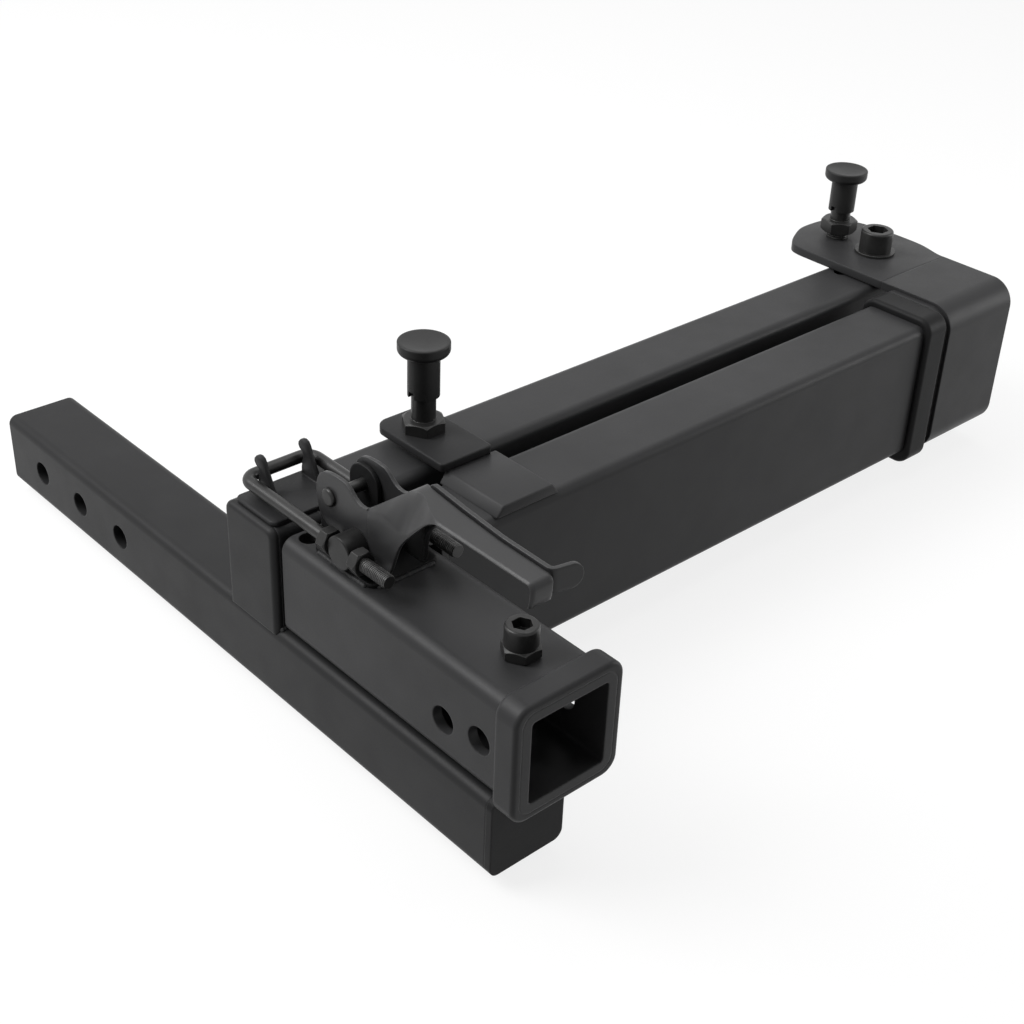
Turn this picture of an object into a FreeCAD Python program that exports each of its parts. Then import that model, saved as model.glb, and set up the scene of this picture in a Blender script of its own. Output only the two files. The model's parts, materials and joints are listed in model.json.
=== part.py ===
import FreeCAD, Part
import os
import re
import Sketcher

# A swing-away hitch adapter. The shank slides into a vehicle's hitch tube. The receiver at the other
# end carries a rack, and swings aside with it on the front arm, about the pivot bolt on the right.
# Frame, in millimetres: X runs along the arms towards the pivot, Y towards the vehicle, Z up. The
# origin is the centre of the shank's first pin hole, counted from the vehicle.

sizes = {
    "shankOuter": (50.8, "square tube that slides into the vehicle's hitch"),
    "shankWall": (6.35, "its wall"),
    "shankCorner": (6, "outer radius of its corners"),
    "shankInner": (2, "inner radius of its corners"),
    "shankLength": (508, "its whole length, end plate included"),
    "pinHole": (16.3, "hole for a hitch pin of 5/8 inch"),
    "pinHoleInset": (43, "first pin hole from the vehicle end"),
    "pinHoleStep": (50.8, "from one pin hole to the next"),
    "pinHoleCount": (3, "pin holes in the shank"),
    "capThickness": (4.8, "plates that close the tubes' ends"),

    "armHeight": (101.6, "height of both arms"),
    "armWall": (4.76, "their wall"),
    "armCorner": (6, "outer radius of their corners"),
    "armInner": (1.5, "inner radius of their corners"),
    "armDrop": (34.9, "how far the arms hang below the shank's top"),
    "rearArmWidth": (47.5, "rear arm from front to back"),
    "rearArmSetback": (186.5, "rear arm's front face from the shank's rack end"),
    "rearArmPastPivot": (25, "rear arm's end beyond the pivot"),
    "copeLap": (3, "how far the rear arm's end wraps down the shank's corners"),
    "stubRound": (3.5, "rounding of the rear arm's end beside the shank"),
    "frontArmWidth": (50.8, "front arm from front to back"),
    "armGap": (15.1, "between the two arms"),

    "receiverOuter": (63.5, "square tube that takes the rack"),
    "receiverBore": (51.6, "opening for the rack's bar of 50.8"),
    "receiverCorner": (8, "outer radius of its corners"),
    "receiverBoreCorner": (2.5, "radius of the opening's corners"),
    "receiverOffset": (9.25, "its centre from the shank's centre, along X"),
    "receiverGap": (5, "its end from the rear arm"),
    "mouthOverhang": (16.5, "how far its mouth stands past the shank's end"),
    "swingClearance": (0.5, "between its underside and the shank's top"),
    "collarProud": (4.7, "how far the mouth's collar stands out"),
    "collarGap": (0.5, "between the collar's back and the shank's end"),
    "collarRound": (2.5, "rounding of the collar's rims"),
    "receiverHoleInset": (59, "inner pin hole from the mouth"),
    "receiverHoleStep": (27.8, "from the inner pin hole to the outer one"),
    "receiverHoleLift": (4.5, "how much higher the outer pin hole sits"),
    "receiverHoleSink": (6.35, "inner pin hole below the receiver's centre"),
    "drainHole": (11.5, "small hole in the receiver's top"),
    "drainInset": (8, "its centre from the receiver's end"),
    "drainSide": (18.85, "its centre from the receiver's middle"),

    "pivotReach": (572, "pivot from the shank's outer side"),
    "pivotSet": (31.5, "pivot behind the rear arm's front face"),
    "pivotBolt": (16, "pivot bolt"),
    "pivotFit": (0.05, "clearance of the pivot bolt in its bushes, all round"),
    "boltHeadWide": (24, "its socket head"),
    "boltHeadHigh": (16, "height of that head"),
    "boltSocket": (14, "hexagon socket across flats"),
    "boltSocketDeep": (8, "depth of the socket"),
    "bushWall": (1.2, "wall of the bushes"),
    "bushLength": (22, "how far each bush reaches in"),
    "bushFlange": (30, "flange of each bush, between arm and tab"),
    "sleeveWall": (1.8, "wall of the pivot's sleeve"),
    "hingeGap": (1, "from the rear arm to each tab"),
    "flangeFit": (0.1, "running gap beside each bush's flange"),
    "washerWide": (30, "washers of the pivot bolt"),
    "washerThick": (2, "their thickness"),
    "nutAcross": (24, "pivot nut across flats"),
    "nutHigh": (12, "its height"),
    "boltTip": (2, "bolt beyond the nut"),
    "headRound": (1.5, "rounding round the top of a socket head"),
    "hexLand": (0.4, "round top of a hexagon inside its flats"),

    "tabPlate": (6.35, "plate of the hinge bracket and tabs"),
    "bracketBefore": (40, "hinge bracket's start before the pivot"),
    "bracketAfter": (35, "its end beyond the pivot"),
    "bracketProud": (4, "its web in front of the front arm"),
    "bracketBend": (18, "outer radius of its bends"),
    "seamSet": (6.5, "seam of bracket and tab in front of the rear arm"),
    "bandLength": (22, "welded band round the front arm's end"),
    "bandProud": (4.5, "how far it stands out in front and behind"),
    "bandTopProud": (5.5, "how far it stands out on top"),
    "bandFootProud": (9, "how far it stands out below"),
    "bandCorner": (11, "outer radius of its corners"),
    "bandRound": (3, "rounding of its rims"),
    "endPlateThick": (5, "plate between front arm and hinge bracket"),
    "endPlateInset": (2.5, "its edge behind the bracket's surface"),
    "tabAfterSeam": (103.5, "hinge tab from the seam to its rear edge"),
    "tabSide": (40, "hinge tab beyond the pivot"),
    "tabNeck": (32, "its edge at the seam, beyond the pivot"),
    "tabNeckLong": (6, "straight stretch of that edge"),
    "tabSlope": (15.5, "height of its slanted rear left side"),
    "tabFlat": (24, "its rear edge"),
    "tabFlatStart": (6, "where the rear edge starts, before the pivot"),
    "tabChamfer": (21.5, "height of its slanted rear right side"),
    "tabTaper": (3, "how far its right side leans in towards the rear"),
    "tabFlare": (10, "length of the slope from its neck to its side"),
    "tabNeckRound": (9, "rounding where the neck meets the side"),
    "tabRound": (12, "rounding of its rear corners"),

    "blockFoot": (52, "stop block along X, at its foot"),
    "blockBevel": (8.5, "slope of its two flanks, along X"),
    "blockHigh": (4, "its height"),
    "blockReach": (39.6, "its foot from the front arm's start"),
    "lockTabWide": (38.5, "tab of the first plunger"),
    "lockTabThick": (6, "its plate"),
    "lockTabLap": (3.4, "how far it lies on the block"),
    "lockTabRound": (15, "rounding of its free corners"),
    "plungerOneReach": (59.6, "first plunger from the front arm's start"),
    "plungerTwoBack": (37, "second plunger behind the pivot"),
    "plungerTwoSide": (1.5, "second plunger beside the pivot"),

    "stud": (16, "threaded foot of a plunger"),
    "collarAcross": (24, "its hexagon across flats"),
    "hexHigh": (9.5, "height of the hexagon"),
    "barrel": (15, "plunger's barrel"),
    "barrelHigh": (34, "barrel's top above the tab"),
    "barrelRoof": (3, "wall over the spring"),
    "lockPin": (9.5, "locking pin"),
    "lockPinFit": (0.06, "clearance of the pin in the barrel, all round"),
    "lockPinLong": (14, "thick end of the pin"),
    "lockPinTip": (1.2, "bevel of the pin's tip"),
    "lockRod": (5, "thin end of the pin"),
    "lockTravel": (12, "travel of the pin"),
    "lockHole": (10.5, "hole that the pin drops into"),
    "sleeve": (19.5, "knob's sleeve"),
    "sleeveFit": (0.1, "clearance of the sleeve on the barrel, all round"),
    "sleeveStart": (25, "sleeve's lower end above the tab, parked"),
    "capStart": (52, "underside of the knob's cap above the tab"),
    "capHigh": (8, "height of the cap"),
    "capWide": (31.6, "its width"),
    "capEdge": (0.9, "rounding of the cap's upper rim"),
    "capFoot": (3.4, "rounding of its lower rim"),
    "capFlare": (1, "rounding where the sleeve meets the cap"),
    "capDish": (1.1, "depth of the hollow in the cap's top"),
    "dishRadius": (90, "radius of that hollow's ball"),
    "sleeveRoom": (1.5, "space in the sleeve over the barrel, dropped"),
    "travelTwo": (7, "travel of the second plunger's pin"),
    "notchWide": (5, "notch across the sleeve's lower end"),
    "notchHigh": (4, "its height"),
    "springWire": (1, "wire of the plunger's spring"),
    "springTurns": (6, "its turns"),
    "springSide": (0.2, "space between the spring and the barrel's bore"),
    "springEnd": (0.05, "space at each end of the spring"),
    "standoffTwo": (5, "thread left showing under the second plunger's hexagon"),
    "barrelTwoHigh": (24, "second plunger's barrel above its hexagon's foot"),
    "sleeveTwoStart": (17, "its sleeve's lower end above the same, parked"),
    "capTwoStart": (41, "its cap above the same"),

    "antiBolt": (12, "anti-rattle bolt"),
    "antiHeadWide": (18.2, "its socket head"),
    "antiHeadHigh": (12, "height of that head"),
    "antiSocket": (10, "hexagon socket across flats"),
    "antiSocketDeep": (6, "depth of the socket"),
    "antiNutAcross": (19, "its nut across flats"),
    "antiNutHigh": (6.5, "height of that nut"),
    "antiInset": (38.9, "bolt from the mouth"),
    "antiSide": (1.5, "bolt from the receiver's middle"),
    "threadFit": (0.05, "clearance in a threaded hole, all round"),

    "latchWall": (2.5, "sheet of the latch's handle and base"),
    "latchBaseHalf": (23, "half the base's width"),
    "latchBaseNarrow": (13, "half its width beside the drain hole"),
    "latchBaseBack": (5, "end of its wide part behind the handle's pivot"),
    "latchBaseRound": (5, "rounding of its corners"),
    "latchBaseLong": (53, "wide part of the base"),
    "latchBaseTail": (10, "narrow part of the base"),
    "latchPivotInset": (21.5, "handle's pivot from the receiver's end"),
    "latchPivotRise": (31.2, "handle's pivot above the receiver, at the least"),
    "latchRivet": (7, "pivot rivet"),
    "rivetHead": (11, "its heads"),
    "rivetHeadHigh": (2.2, "their height"),
    "rivetRound": (1.7, "rounding of their rims"),
    "rivetFit": (0.08, "clearance of the rivet in the handle, all round"),
    "earHalfLong": (12.5, "half the base's ears along Y"),
    "earRound": (11, "rounding of their tops"),
    "earGap": (0.3, "between ears and handle, each side"),
    "handleHalf": (14, "half the handle's width"),
    "lobe": (12, "handle beyond its pivot"),
    "lobeFlat": (0.6, "flat left at that lobe's tip"),
    "lobeRound": (7.2, "rounding of the lobe's other corners"),
    "lobeRise": (14, "top of that lobe above the pivot"),
    "lobeFoot": (18, "foot of that lobe below the pivot"),
    "saddleBack": (22, "low point behind the lobe, from the pivot"),
    "saddleRise": (2.5, "its height above the pivot"),
    "handleFoot": (28, "handle's lower edge below the pivot"),
    "heelBack": (10, "start of that edge from the pivot"),
    "cheekFoot": (48, "end of that edge from the pivot"),
    "cheekBack": (56, "narrowest place of the sides from the pivot"),
    "cheekWaist": (4, "that place below the pivot"),
    "cheekSlope": (13, "slant of the sides' rear edge, along Y"),
    "cheekDrop": (15, "where that slant ends under the grip"),
    "cheekEnd": (84, "where the sides end under the grip, from the pivot"),
    "humpBack": (60, "handle's hump from the pivot, along Y"),
    "humpRise": (28, "handle's top above the pivot"),
    "strapLong": (156, "grip's end from the pivot, along Y"),
    "strapThick": (3, "grip's plate"),
    "strapLap": (20, "grip's plate along the handle's top"),
    "strapEndHalf": (8, "half the grip's width at its end"),
    "strapEndShift": (3, "grip's end from the handle's middle"),
    "strapLip": (15, "lip turned down at the grip's end"),
    "lipFlat": (0.3, "flat left above that lip"),
    "humpBend": (9, "outer radius of the hump"),
    "handleEdge": (4.5, "rounding between the handle's top and sides"),
    "leverGap": (0.3, "between lever and grip"),
    "leverThick": (2.5, "its plate"),
    "leverDeep": (8, "its depth along the grip"),
    "leverProud": (1.5, "how far it stands over the grip"),
    "leverPinBack": (40, "lever's pin from the handle's pivot, along Y"),
    "leverPinRise": (2, "lever's pin above the handle's pivot"),
    "leverPin": (5, "lever's pin"),
    "leverHead": (8, "that pin's heads"),
    "leverHeadHigh": (1, "their height"),
    "leverHeadRound": (0.7, "rounding of their rims"),
    "leverNose": (6.5, "lever round its pin"),
    "noseFlat": (0.3, "flat left at that end of the lever"),
    "tongueDrop": (10.5, "tongue's foot below the lever's lower edge"),
    "tongueWide": (19, "thumb tongue along X"),
    "tongueHigh": (14, "its height"),
    "tongueRound": (6, "rounding of its free corners"),

    "trunnion": (19.5, "round bar across the handle"),
    "trunnionNeck": (12, "its neck through the handle"),
    "neckSide": (0.3, "between handle and the bar's thick ends"),
    "trunnionHalf": (27.5, "half its length"),
    "trunnionRound": (0.8, "rounding of its ends"),
    "trunnionBack": (25, "bar from the handle's pivot, along Y"),
    "trunnionDrop": (17.8, "bar below the handle's pivot"),
    "neckFit": (0.08, "clearance of the neck, all round"),
    "hookRod": (7.5, "rod of the U-bolt"),
    "hookHalf": (23, "half the distance between its legs"),
    "hookRise": (10.7, "its middle above the rear arm, at the least"),
    "hookReach": (95, "its crossbar from the round bar"),
    "hookTail": (38, "its threaded ends beyond the round bar"),
    "hookBend": (8, "radius of its corners, on the rod's centre"),
    "hookFit": (0.1, "clearance of the legs in the bar, all round"),
    "hookNutAcross": (13, "nuts of the U-bolt, across flats"),
    "hookNutHigh": (7, "their height"),
    "hookNutGap": (0.25, "between nut and round bar"),

    "keeperThick": (3, "sheet of the keeper"),
    "keeperHalf": (31, "half its base"),
    "keeperLong": (38, "its base along Y"),
    "keeperBack": (2.25, "its base behind the claws' face"),
    "keeperRound": (4, "rounding of its base's corners"),
    "clawSide": (15, "middle of each claw from the keeper's middle"),
    "clawFront": (16.5, "foot of a claw's front edge before the crossbar's near side"),
    "clawShoulder": (8.5, "top of that edge before the same"),
    "clawTip": (4.8, "claw's tip before the same, so that the crossbar lifts clear"),
    "clawHigh": (25.5, "claw's top above the rear arm"),
    "clawRound": (2.2, "rounding of its tip"),
    "clawGap": (0.5, "between claws and crossbar"),
    "upstandHalf": (7, "half the keeper's middle wall"),
    "upstandHigh": (9.7, "its height above the rear arm"),
    "runOut": (200, "how far an open cut runs past its piece"),
}

# Places worked out from the sizes above
places = {
    "shankHalf": "shankOuter / 2",
    "shankRackEnd": "pinHoleInset - shankLength",
    "stubFace": "-shankHalf",
    "armBottom": "shankHalf - armDrop",
    "armTop": "armBottom + armHeight",
    "rearFront": "shankRackEnd + rearArmSetback",
    "rearBack": "rearFront + rearArmWidth",
    "frontBack": "rearFront - armGap",
    "frontFront": "frontBack - frontArmWidth",
    "receiverHalf": "receiverOuter / 2",
    "receiverBottom": "shankHalf + swingClearance",
    "receiverMiddle": "receiverBottom + receiverHalf",
    "receiverTop": "receiverBottom + receiverOuter",
    "receiverEnd": "rearFront - receiverGap",
    "receiverMouth": "shankRackEnd - mouthOverhang",
    "receiverRoof": "receiverMiddle + receiverBore / 2",
    "frontStart": "receiverOffset + receiverHalf",
    "pivotX": "stubFace + pivotReach",
    "pivotY": "rearFront + pivotSet",
    "rearEnd": "pivotX + rearArmPastPivot",
    "bracketStart": "pivotX - bracketBefore",
    "frontEnd": "bracketStart - endPlateThick",
    "bracketFace": "frontFront - bracketProud",
    "seam": "rearFront - seamSet",
    "upperTab": "armTop + hingeGap",
    "upperTabTop": "upperTab + tabPlate",
    "lowerTab": "armBottom - hingeGap - tabPlate",
    "bushBore": "pivotBolt / 2 + pivotFit",
    "bushOuter": "bushBore + bushWall",
    "blockStart": "frontStart + blockReach",
    "blockTop": "armTop + blockHigh",
    "lockTabTop": "blockTop + lockTabThick",
    "plungerOneX": "frontStart + plungerOneReach",
    "plungerOneY": "(rearFront + rearBack) / 2",
    "plungerTwoX": "pivotX + plungerTwoSide",
    "plungerTwoY": "pivotY + plungerTwoBack",
    "barrelBore": "lockPin / 2 + lockPinFit",
    "antiX": "receiverOffset + antiSide",
    "antiY": "receiverMouth + antiInset",
    "latchY": "receiverEnd - latchPivotInset",
    "barY": "latchY - trunnionBack",
    "barZ": "max(receiverTop + latchPivotRise - trunnionDrop; armTop + hookRise)",
    "latchZ": "barZ + trunnionDrop",
    "pivotRise": "latchZ - receiverTop",
    "crossbarY": "barY + hookReach",
    "clawFace": "crossbarY - hookRod / 2 - clawGap",
    "earOuter": "handleHalf - latchWall - earGap",
}

doc = FreeCAD.newDocument("swing_away_hitch_adapter")
sheet = doc.addObject("Spreadsheet::Sheet", "dims")
nodes = []


def fillSheet():
    for row, (name, (size, note)) in enumerate(sizes.items(), start=1):
        sheet.set("A%d" % row, name)
        sheet.set("B%d" % row, str(size))
        sheet.set("C%d" % row, note)
        sheet.setAlias("B%d" % row, name)
    doc.recompute()


def formula(text):
    """Turns a rule in plain words into one that reads the sheet."""
    def swap(found):
        word = found.group(0)
        if word in places:
            return "(" + formula(places[word]) + ")"
        return "dims." + word if word in sizes else word
    return re.sub(r"[A-Za-z]\w*", swap, str(text))


def number(text):
    found = sheet.evalExpression(formula(text))
    return float(getattr(found, "Value", found))


def bind(thing, **rules):
    for name, text in rules.items():
        thing.setExpression(name, formula(text))


def move(thing, x=0, y=0, z=0):
    for letter, text in zip("xyz", (x, y, z)):
        thing.setExpression("Placement.Base." + letter, formula(text))


def node(thing, label):
    thing.Label = label
    nodes.append(thing)
    return thing


axisX = FreeCAD.Vector(1, 0, 0)
axisY = FreeCAD.Vector(0, 1, 0)
axisZ = FreeCAD.Vector(0, 0, 1)
nearly = 0.01


# Shapes from Part

def cylinder(name, radius, length, x=0, y=0, z=0, along=axisZ):
    rod = doc.addObject("Part::Cylinder", name)
    bind(rod, Radius=radius, Height=length)
    rod.Placement.Rotation = FreeCAD.Rotation(axisZ, along)
    move(rod, x, y, z)
    return rod


def hexagon(name, across, high, x=0, y=0, z=0, along=axisZ, turn=0):
    """A hexagon with its corners taken off at both ends, turned by so many degrees."""
    prism = doc.addObject("Part::Prism", name)
    prism.Polygon = 6
    bind(prism, Circumradius="(%s) / sqrt(3)" % across, Height=high)
    land = "(%s) / 2 - hexLand" % across
    foot = land + " + (%s) * sqrt(3)" % high
    ends = [doc.addObject("Part::Cone", name + "_end") for count in range(2)]
    bind(ends[0], Radius1=foot, Radius2=land, Height=high)
    bind(ends[1], Radius1=land, Radius2=foot, Height=high)
    for thing in [prism] + ends:
        thing.Placement.Rotation = FreeCAD.Rotation(axisZ, along) * FreeCAD.Rotation(axisZ, turn)
        move(thing, x, y, z)
    shared = doc.addObject("Part::MultiCommon", name + "_shared")
    shared.Shapes = [prism] + ends
    return shared


def fuse(name, shapes):
    joined = doc.addObject("Part::MultiFuse", name)
    joined.Shapes = shapes
    joined.Refine = True
    return joined


def cut(name, base, tool):
    rest = doc.addObject("Part::Cut", name)
    rest.Base, rest.Tool = base, tool
    return rest


def group(name, shapes):
    together = doc.addObject("Part::Compound", name)
    together.Links = shapes
    return together


# Shapes from sketches

def newBody(name, x=0, y=0, z=0):
    piece = doc.addObject("PartDesign::Body", name)
    move(piece, x, y, z)
    return piece


def body(name, x=0, y=0, z=0):
    return node(newBody(name, x, y, z), name)


def sketch(piece, plane, loops=(), circles=(), offset=0):
    """Draws closed loops of straight lines, and circles, on one of the body's origin planes."""
    drawing = piece.newObject("Sketcher::SketchObject", piece.Name + "_sketch")
    support = [item for item in piece.Origin.OriginFeatures if item.Role == plane + "_Plane"]
    drawing.AttachmentSupport = [(support[0], "")]
    drawing.MapMode = "FlatFace"
    drawing.setExpression("AttachmentOffset.Base.z", formula(offset))
    for loop in loops:
        drawLoop(drawing, loop)
    for across, up, radius in circles:
        drawCircle(drawing, across, up, radius)
    return drawing


def hold(drawing, constraints, rules):
    """Adds constraints, the last of them bound to the rules."""
    first = drawing.ConstraintCount + len(constraints) - len(rules)
    drawing.addConstraint(constraints)
    for step, text in enumerate(rules):
        drawing.setExpression("Constraints[%d]" % (first + step), formula(text))


def drawLoop(drawing, loop):
    start = drawing.GeometryCount
    points = [FreeCAD.Vector(number(across), number(up), 0) for across, up in loop]
    ends = points[1:] + points[:1]
    drawing.addGeometry([Part.LineSegment(a, b) for a, b in zip(points, ends)], False)
    count = len(loop)
    joints = []
    for i in range(count):
        joints.append(Sketcher.Constraint("Coincident", start + i, 2, start + (i + 1) % count, 1))
    rules = []
    for i, (across, up) in enumerate(loop):
        joints.append(Sketcher.Constraint("DistanceX", -1, 1, start + i, 1, points[i].x))
        joints.append(Sketcher.Constraint("DistanceY", -1, 1, start + i, 1, points[i].y))
        rules += [across, up]
    hold(drawing, joints, rules)


def drawCircle(drawing, across, up, radius):
    centre = FreeCAD.Vector(number(across), number(up), 0)
    ring = drawing.addGeometry(Part.Circle(centre, axisZ, number(radius)), False)
    held = [
        Sketcher.Constraint("DistanceX", -1, 1, ring, 3, centre.x),
        Sketcher.Constraint("DistanceY", -1, 1, ring, 3, centre.y),
        Sketcher.Constraint("Radius", ring, number(radius)),
    ]
    hold(drawing, held, [across, up, radius])


def feature(piece, kind, drawing, length=None, side="One side", back=False):
    made = piece.newObject("PartDesign::" + kind, piece.Name + "_" + kind.lower())
    made.Profile = drawing
    made.SideType = side
    made.Reversed = back
    if length is None:
        made.Type = "ThroughAll"
    else:
        made.Type = "Length"
        made.setExpression("Length", formula(length))
    piece.Tip = made
    doc.recompute()
    return made


def pad(piece, drawing, length, side="One side", back=False):
    return feature(piece, "Pad", drawing, length, side, back)


def pocket(piece, drawing, length=None, side="Symmetric", back=False):
    before = piece.Shape.Volume
    made = feature(piece, "Pocket", drawing, length, side, back)
    if piece.Shape.Volume > before - 1e-3:
        raise ValueError("a pocket of %s cuts nothing" % piece.Label)
    return made


def revolve(piece, drawing):
    made = piece.newObject("PartDesign::Revolution", piece.Name + "_revolution")
    made.Profile = drawing
    made.ReferenceAxis = (drawing, ["V_Axis"])
    made.Angle = 360
    piece.Tip = made
    doc.recompute()
    return made


def chooseEdges(piece, radius, chosen):
    """Rounds the edges of the body for which chosen(edge) is true."""
    base = piece.Tip
    edges = enumerate(base.Shape.Edges, start=1)
    names = ["Edge%d" % count for count, edge in edges if chosen(edge)]
    if not names:
        raise ValueError("%s has no such edge to round" % piece.Label)
    made = piece.newObject("PartDesign::Fillet", piece.Name + "_fillet")
    made.Base = (base, names)
    made.setExpression("Radius", formula(radius))
    piece.Tip = made
    doc.recompute()
    if made.Shape.isNull() or "Invalid" in made.State:
        raise ValueError("%s can't be rounded by %s" % (piece.Label, radius))


def runsAlong(edge, axis):
    return isinstance(edge.Curve, Part.Line) and abs(abs(edge.Curve.Direction.dot(axis)) - 1) < 1e-6


def otherAxes(axis):
    return [letter for letter, way in zip("XYZ", (axisX, axisY, axisZ)) if way != axis]


def roundEdges(piece, radius, axis, corners):
    """Rounds the straight edges along the axis that stand on the given corners of its sketch."""
    letters = otherAxes(axis)
    spots = [(number(across), number(up)) for across, up in corners]

    def chosen(edge):
        middle = edge.CenterOfMass
        here = [getattr(middle, letter.lower()) for letter in letters]
        return runsAlong(edge, axis) and any(
            abs(here[0] - across) < nearly and abs(here[1] - up) < nearly for across, up in spots
        )

    chooseEdges(piece, radius, chosen)


def roundRims(piece, radius, axis, reach):
    """Rounds the outer rims at both ends of a ring that was padded along the axis."""
    letters = otherAxes(axis)
    whole = piece.Tip.Shape.BoundBox
    depth = number(reach)

    def chosen(edge):
        ends = [point.Point.dot(axis) for point in edge.Vertexes]
        if runsAlong(edge, axis) or max(ends) - min(ends) > nearly:
            return False
        room = edge.BoundBox
        gaps = [abs(getattr(room, letter + "Min") - getattr(whole, letter + "Min")) for letter in letters]
        gaps += [abs(getattr(room, letter + "Max") - getattr(whole, letter + "Max")) for letter in letters]
        return min(gaps) < depth

    chooseEdges(piece, radius, chosen)


def roundRings(piece, radius, rings):
    """Rounds the circles about the body's own axis, given by their radius and height."""
    wanted = [(number(wide), number(high)) for wide, high in rings]

    def chosen(edge):
        ring = edge.Curve
        return isinstance(ring, Part.Circle) and any(
            abs(ring.Radius - wide) < nearly and abs(ring.Center.z - high) < nearly for wide, high in wanted
        )

    chooseEdges(piece, radius, chosen)


def rectangle(left, right, low, high):
    return [(left, low), (right, low), (right, high), (left, high)]


def centred(half, high=None):
    high = high or half
    return rectangle("-(%s)" % half, half, "-(%s)" % high, high)


def hexLoop(across):
    """A hexagon about the sketch's origin, by its width across flats."""
    points = []
    for count in range(6):
        turned = "%d" % (60 * count)
        reach = "(%s) / sqrt(3)" % across
        points.append(("%s * cos(%s deg)" % (reach, turned), "%s * sin(%s deg)" % (reach, turned)))
    return points


# The shank and the fixed rear arm

def makeShank():
    tube = body("shank_tube", y="shankRackEnd + capThickness")
    walls = sketch(tube, "XZ", [centred("shankHalf"), centred("shankHalf - shankWall")])
    pad(tube, walls, "shankLength - capThickness", back=True)
    roundEdges(tube, "shankCorner", axisY, centred("shankHalf"))
    roundEdges(tube, "shankInner", axisY, centred("shankHalf - shankWall"))
    firstHole = "shankLength - capThickness - pinHoleInset"
    steps = range(round(number("pinHoleCount")))
    holes = [("%s - pinHoleStep * %d" % (firstHole, step), 0, "pinHole / 2") for step in steps]
    pocket(tube, sketch(tube, "YZ", circles=holes))

    plate = body("shank_end_plate", y="shankRackEnd")
    pad(plate, sketch(plate, "XZ", [centred("shankHalf")]), "capThickness", back=True)
    roundEdges(plate, "shankCorner", axisY, centred("shankHalf"))


def makeShankCore():
    """The shank's outline as a solid, to which the rear arm's end is coped."""
    core = newBody("shank_outline", y="rearFront - capThickness")
    pad(core, sketch(core, "XZ", [centred("shankHalf")]), "rearArmWidth + 2 * capThickness", back=True)
    roundEdges(core, "shankCorner", axisY, centred("shankHalf"))
    return core


def armSection(wide):
    return rectangle(0, wide, 0, "armHeight")


def armTube(name, wide, long, x, y):
    tube = newBody(name, x, y, "armBottom")
    inside = rectangle("armWall", "%s - armWall" % wide, "armWall", "armHeight - armWall")
    pad(tube, sketch(tube, "YZ", [armSection(wide), inside]), long)
    roundEdges(tube, "armCorner", axisX, armSection(wide))
    roundEdges(tube, "armInner", axisX, inside)
    return tube


def armCap(name, wide, x, y):
    plate = body(name, x, y, "armBottom")
    pad(plate, sketch(plate, "YZ", [armSection(wide)]), "capThickness")
    roundEdges(plate, "armCorner", axisX, armSection(wide))


def makeRearArm(core):
    long = "rearEnd - stubFace - 2 * capThickness"
    tube = armTube("rear_arm_tube", "rearArmWidth", long, "stubFace + capThickness", "rearFront")
    pivotAt = "pivotX - stubFace - capThickness"
    pocket(tube, sketch(tube, "XY", circles=[(pivotAt, "pivotSet", "bushOuter + sleeveWall")]))
    lockOne = ("plungerOneX - stubFace - capThickness", "rearArmWidth / 2", "lockHole / 2")
    lockTwo = (pivotAt + " - plungerTwoBack", "pivotSet + plungerTwoSide", "lockHole / 2")
    top = sketch(tube, "XY", circles=[lockOne, lockTwo], offset="armHeight")
    pocket(tube, top, "armWall", "One side")
    node(cut("rear_arm_coped", tube, core), "rear_arm")

    plate = newBody("stub_plate", "stubFace", "rearFront", "shankHalf - copeLap")
    section = rectangle(0, "rearArmWidth", 0, "armTop - shankHalf + copeLap")
    pad(plate, sketch(plate, "YZ", [section]), "capThickness")
    roundEdges(plate, "armCorner", axisX, section[2:])
    roundEdges(plate, "stubRound", axisZ, [(0, 0), (0, "rearArmWidth")])
    node(cut("stub_plate_coped", plate, core), "rear_arm_stub_plate")
    armCap("rear_arm_end_cap", "rearArmWidth", "rearEnd - capThickness", "rearFront")


def makePivotSeat():
    spot = ("pivotX", "pivotY")
    pipe = cylinder("sleeve_pipe", "bushOuter + sleeveWall", "armHeight", *spot, "armBottom")
    bore = cylinder("sleeve_bore", "bushOuter", "armHeight", *spot, "armBottom")
    node(cut("sleeve_cut", pipe, bore), "pivot_sleeve")
    flange = "(hingeGap - flangeFit)"
    bushes = []
    for level, tubeFrom, rimFrom, low in (
        ("upper", "armTop - bushLength", "armTop", "armTop - bushLength"),
        ("lower", "armBottom", "armBottom - " + flange, "armBottom - " + flange),
    ):
        tube = cylinder(level + "_bush_tube", "bushOuter", "bushLength", *spot, tubeFrom)
        rim = cylinder(level + "_bush_rim", "bushFlange / 2", flange, *spot, rimFrom)
        blank = fuse(level + "_bush_blank", [tube, rim])
        hole = cylinder(level + "_bush_hole", "bushBore", "bushLength + " + flange, *spot, low)
        bushes.append(cut(level + "_bush", blank, hole))
    node(group("bush_pair", bushes), "pivot_bushes")


def makeKeeper():
    keeper = body("keeper_plate", "receiverOffset", "clawFace", "armTop")
    foot = rectangle("-keeperHalf", "keeperHalf", "keeperBack - keeperLong", "keeperBack")
    pad(keeper, sketch(keeper, "XY", [foot]), "keeperThick")
    roundEdges(keeper, "keeperRound", axisZ, foot)
    wall = rectangle("-keeperThick", 0, 0, "upstandHigh")
    pad(keeper, sketch(keeper, "YZ", [wall]), "upstandHalf * 2", "Symmetric")
    claw = [("-clawFront", 0), (0, 0), (0, "barZ - armTop"), ("-clawTip", "clawHigh"),
            ("-clawShoulder", "clawHigh")]
    for side in (-1, 1):
        start = "clawSide * %d - keeperThick / 2" % side
        pad(keeper, sketch(keeper, "YZ", [claw], offset=start), "keeperThick")
    roundEdges(keeper, "clawRound", axisX, claw[3:])


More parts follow.
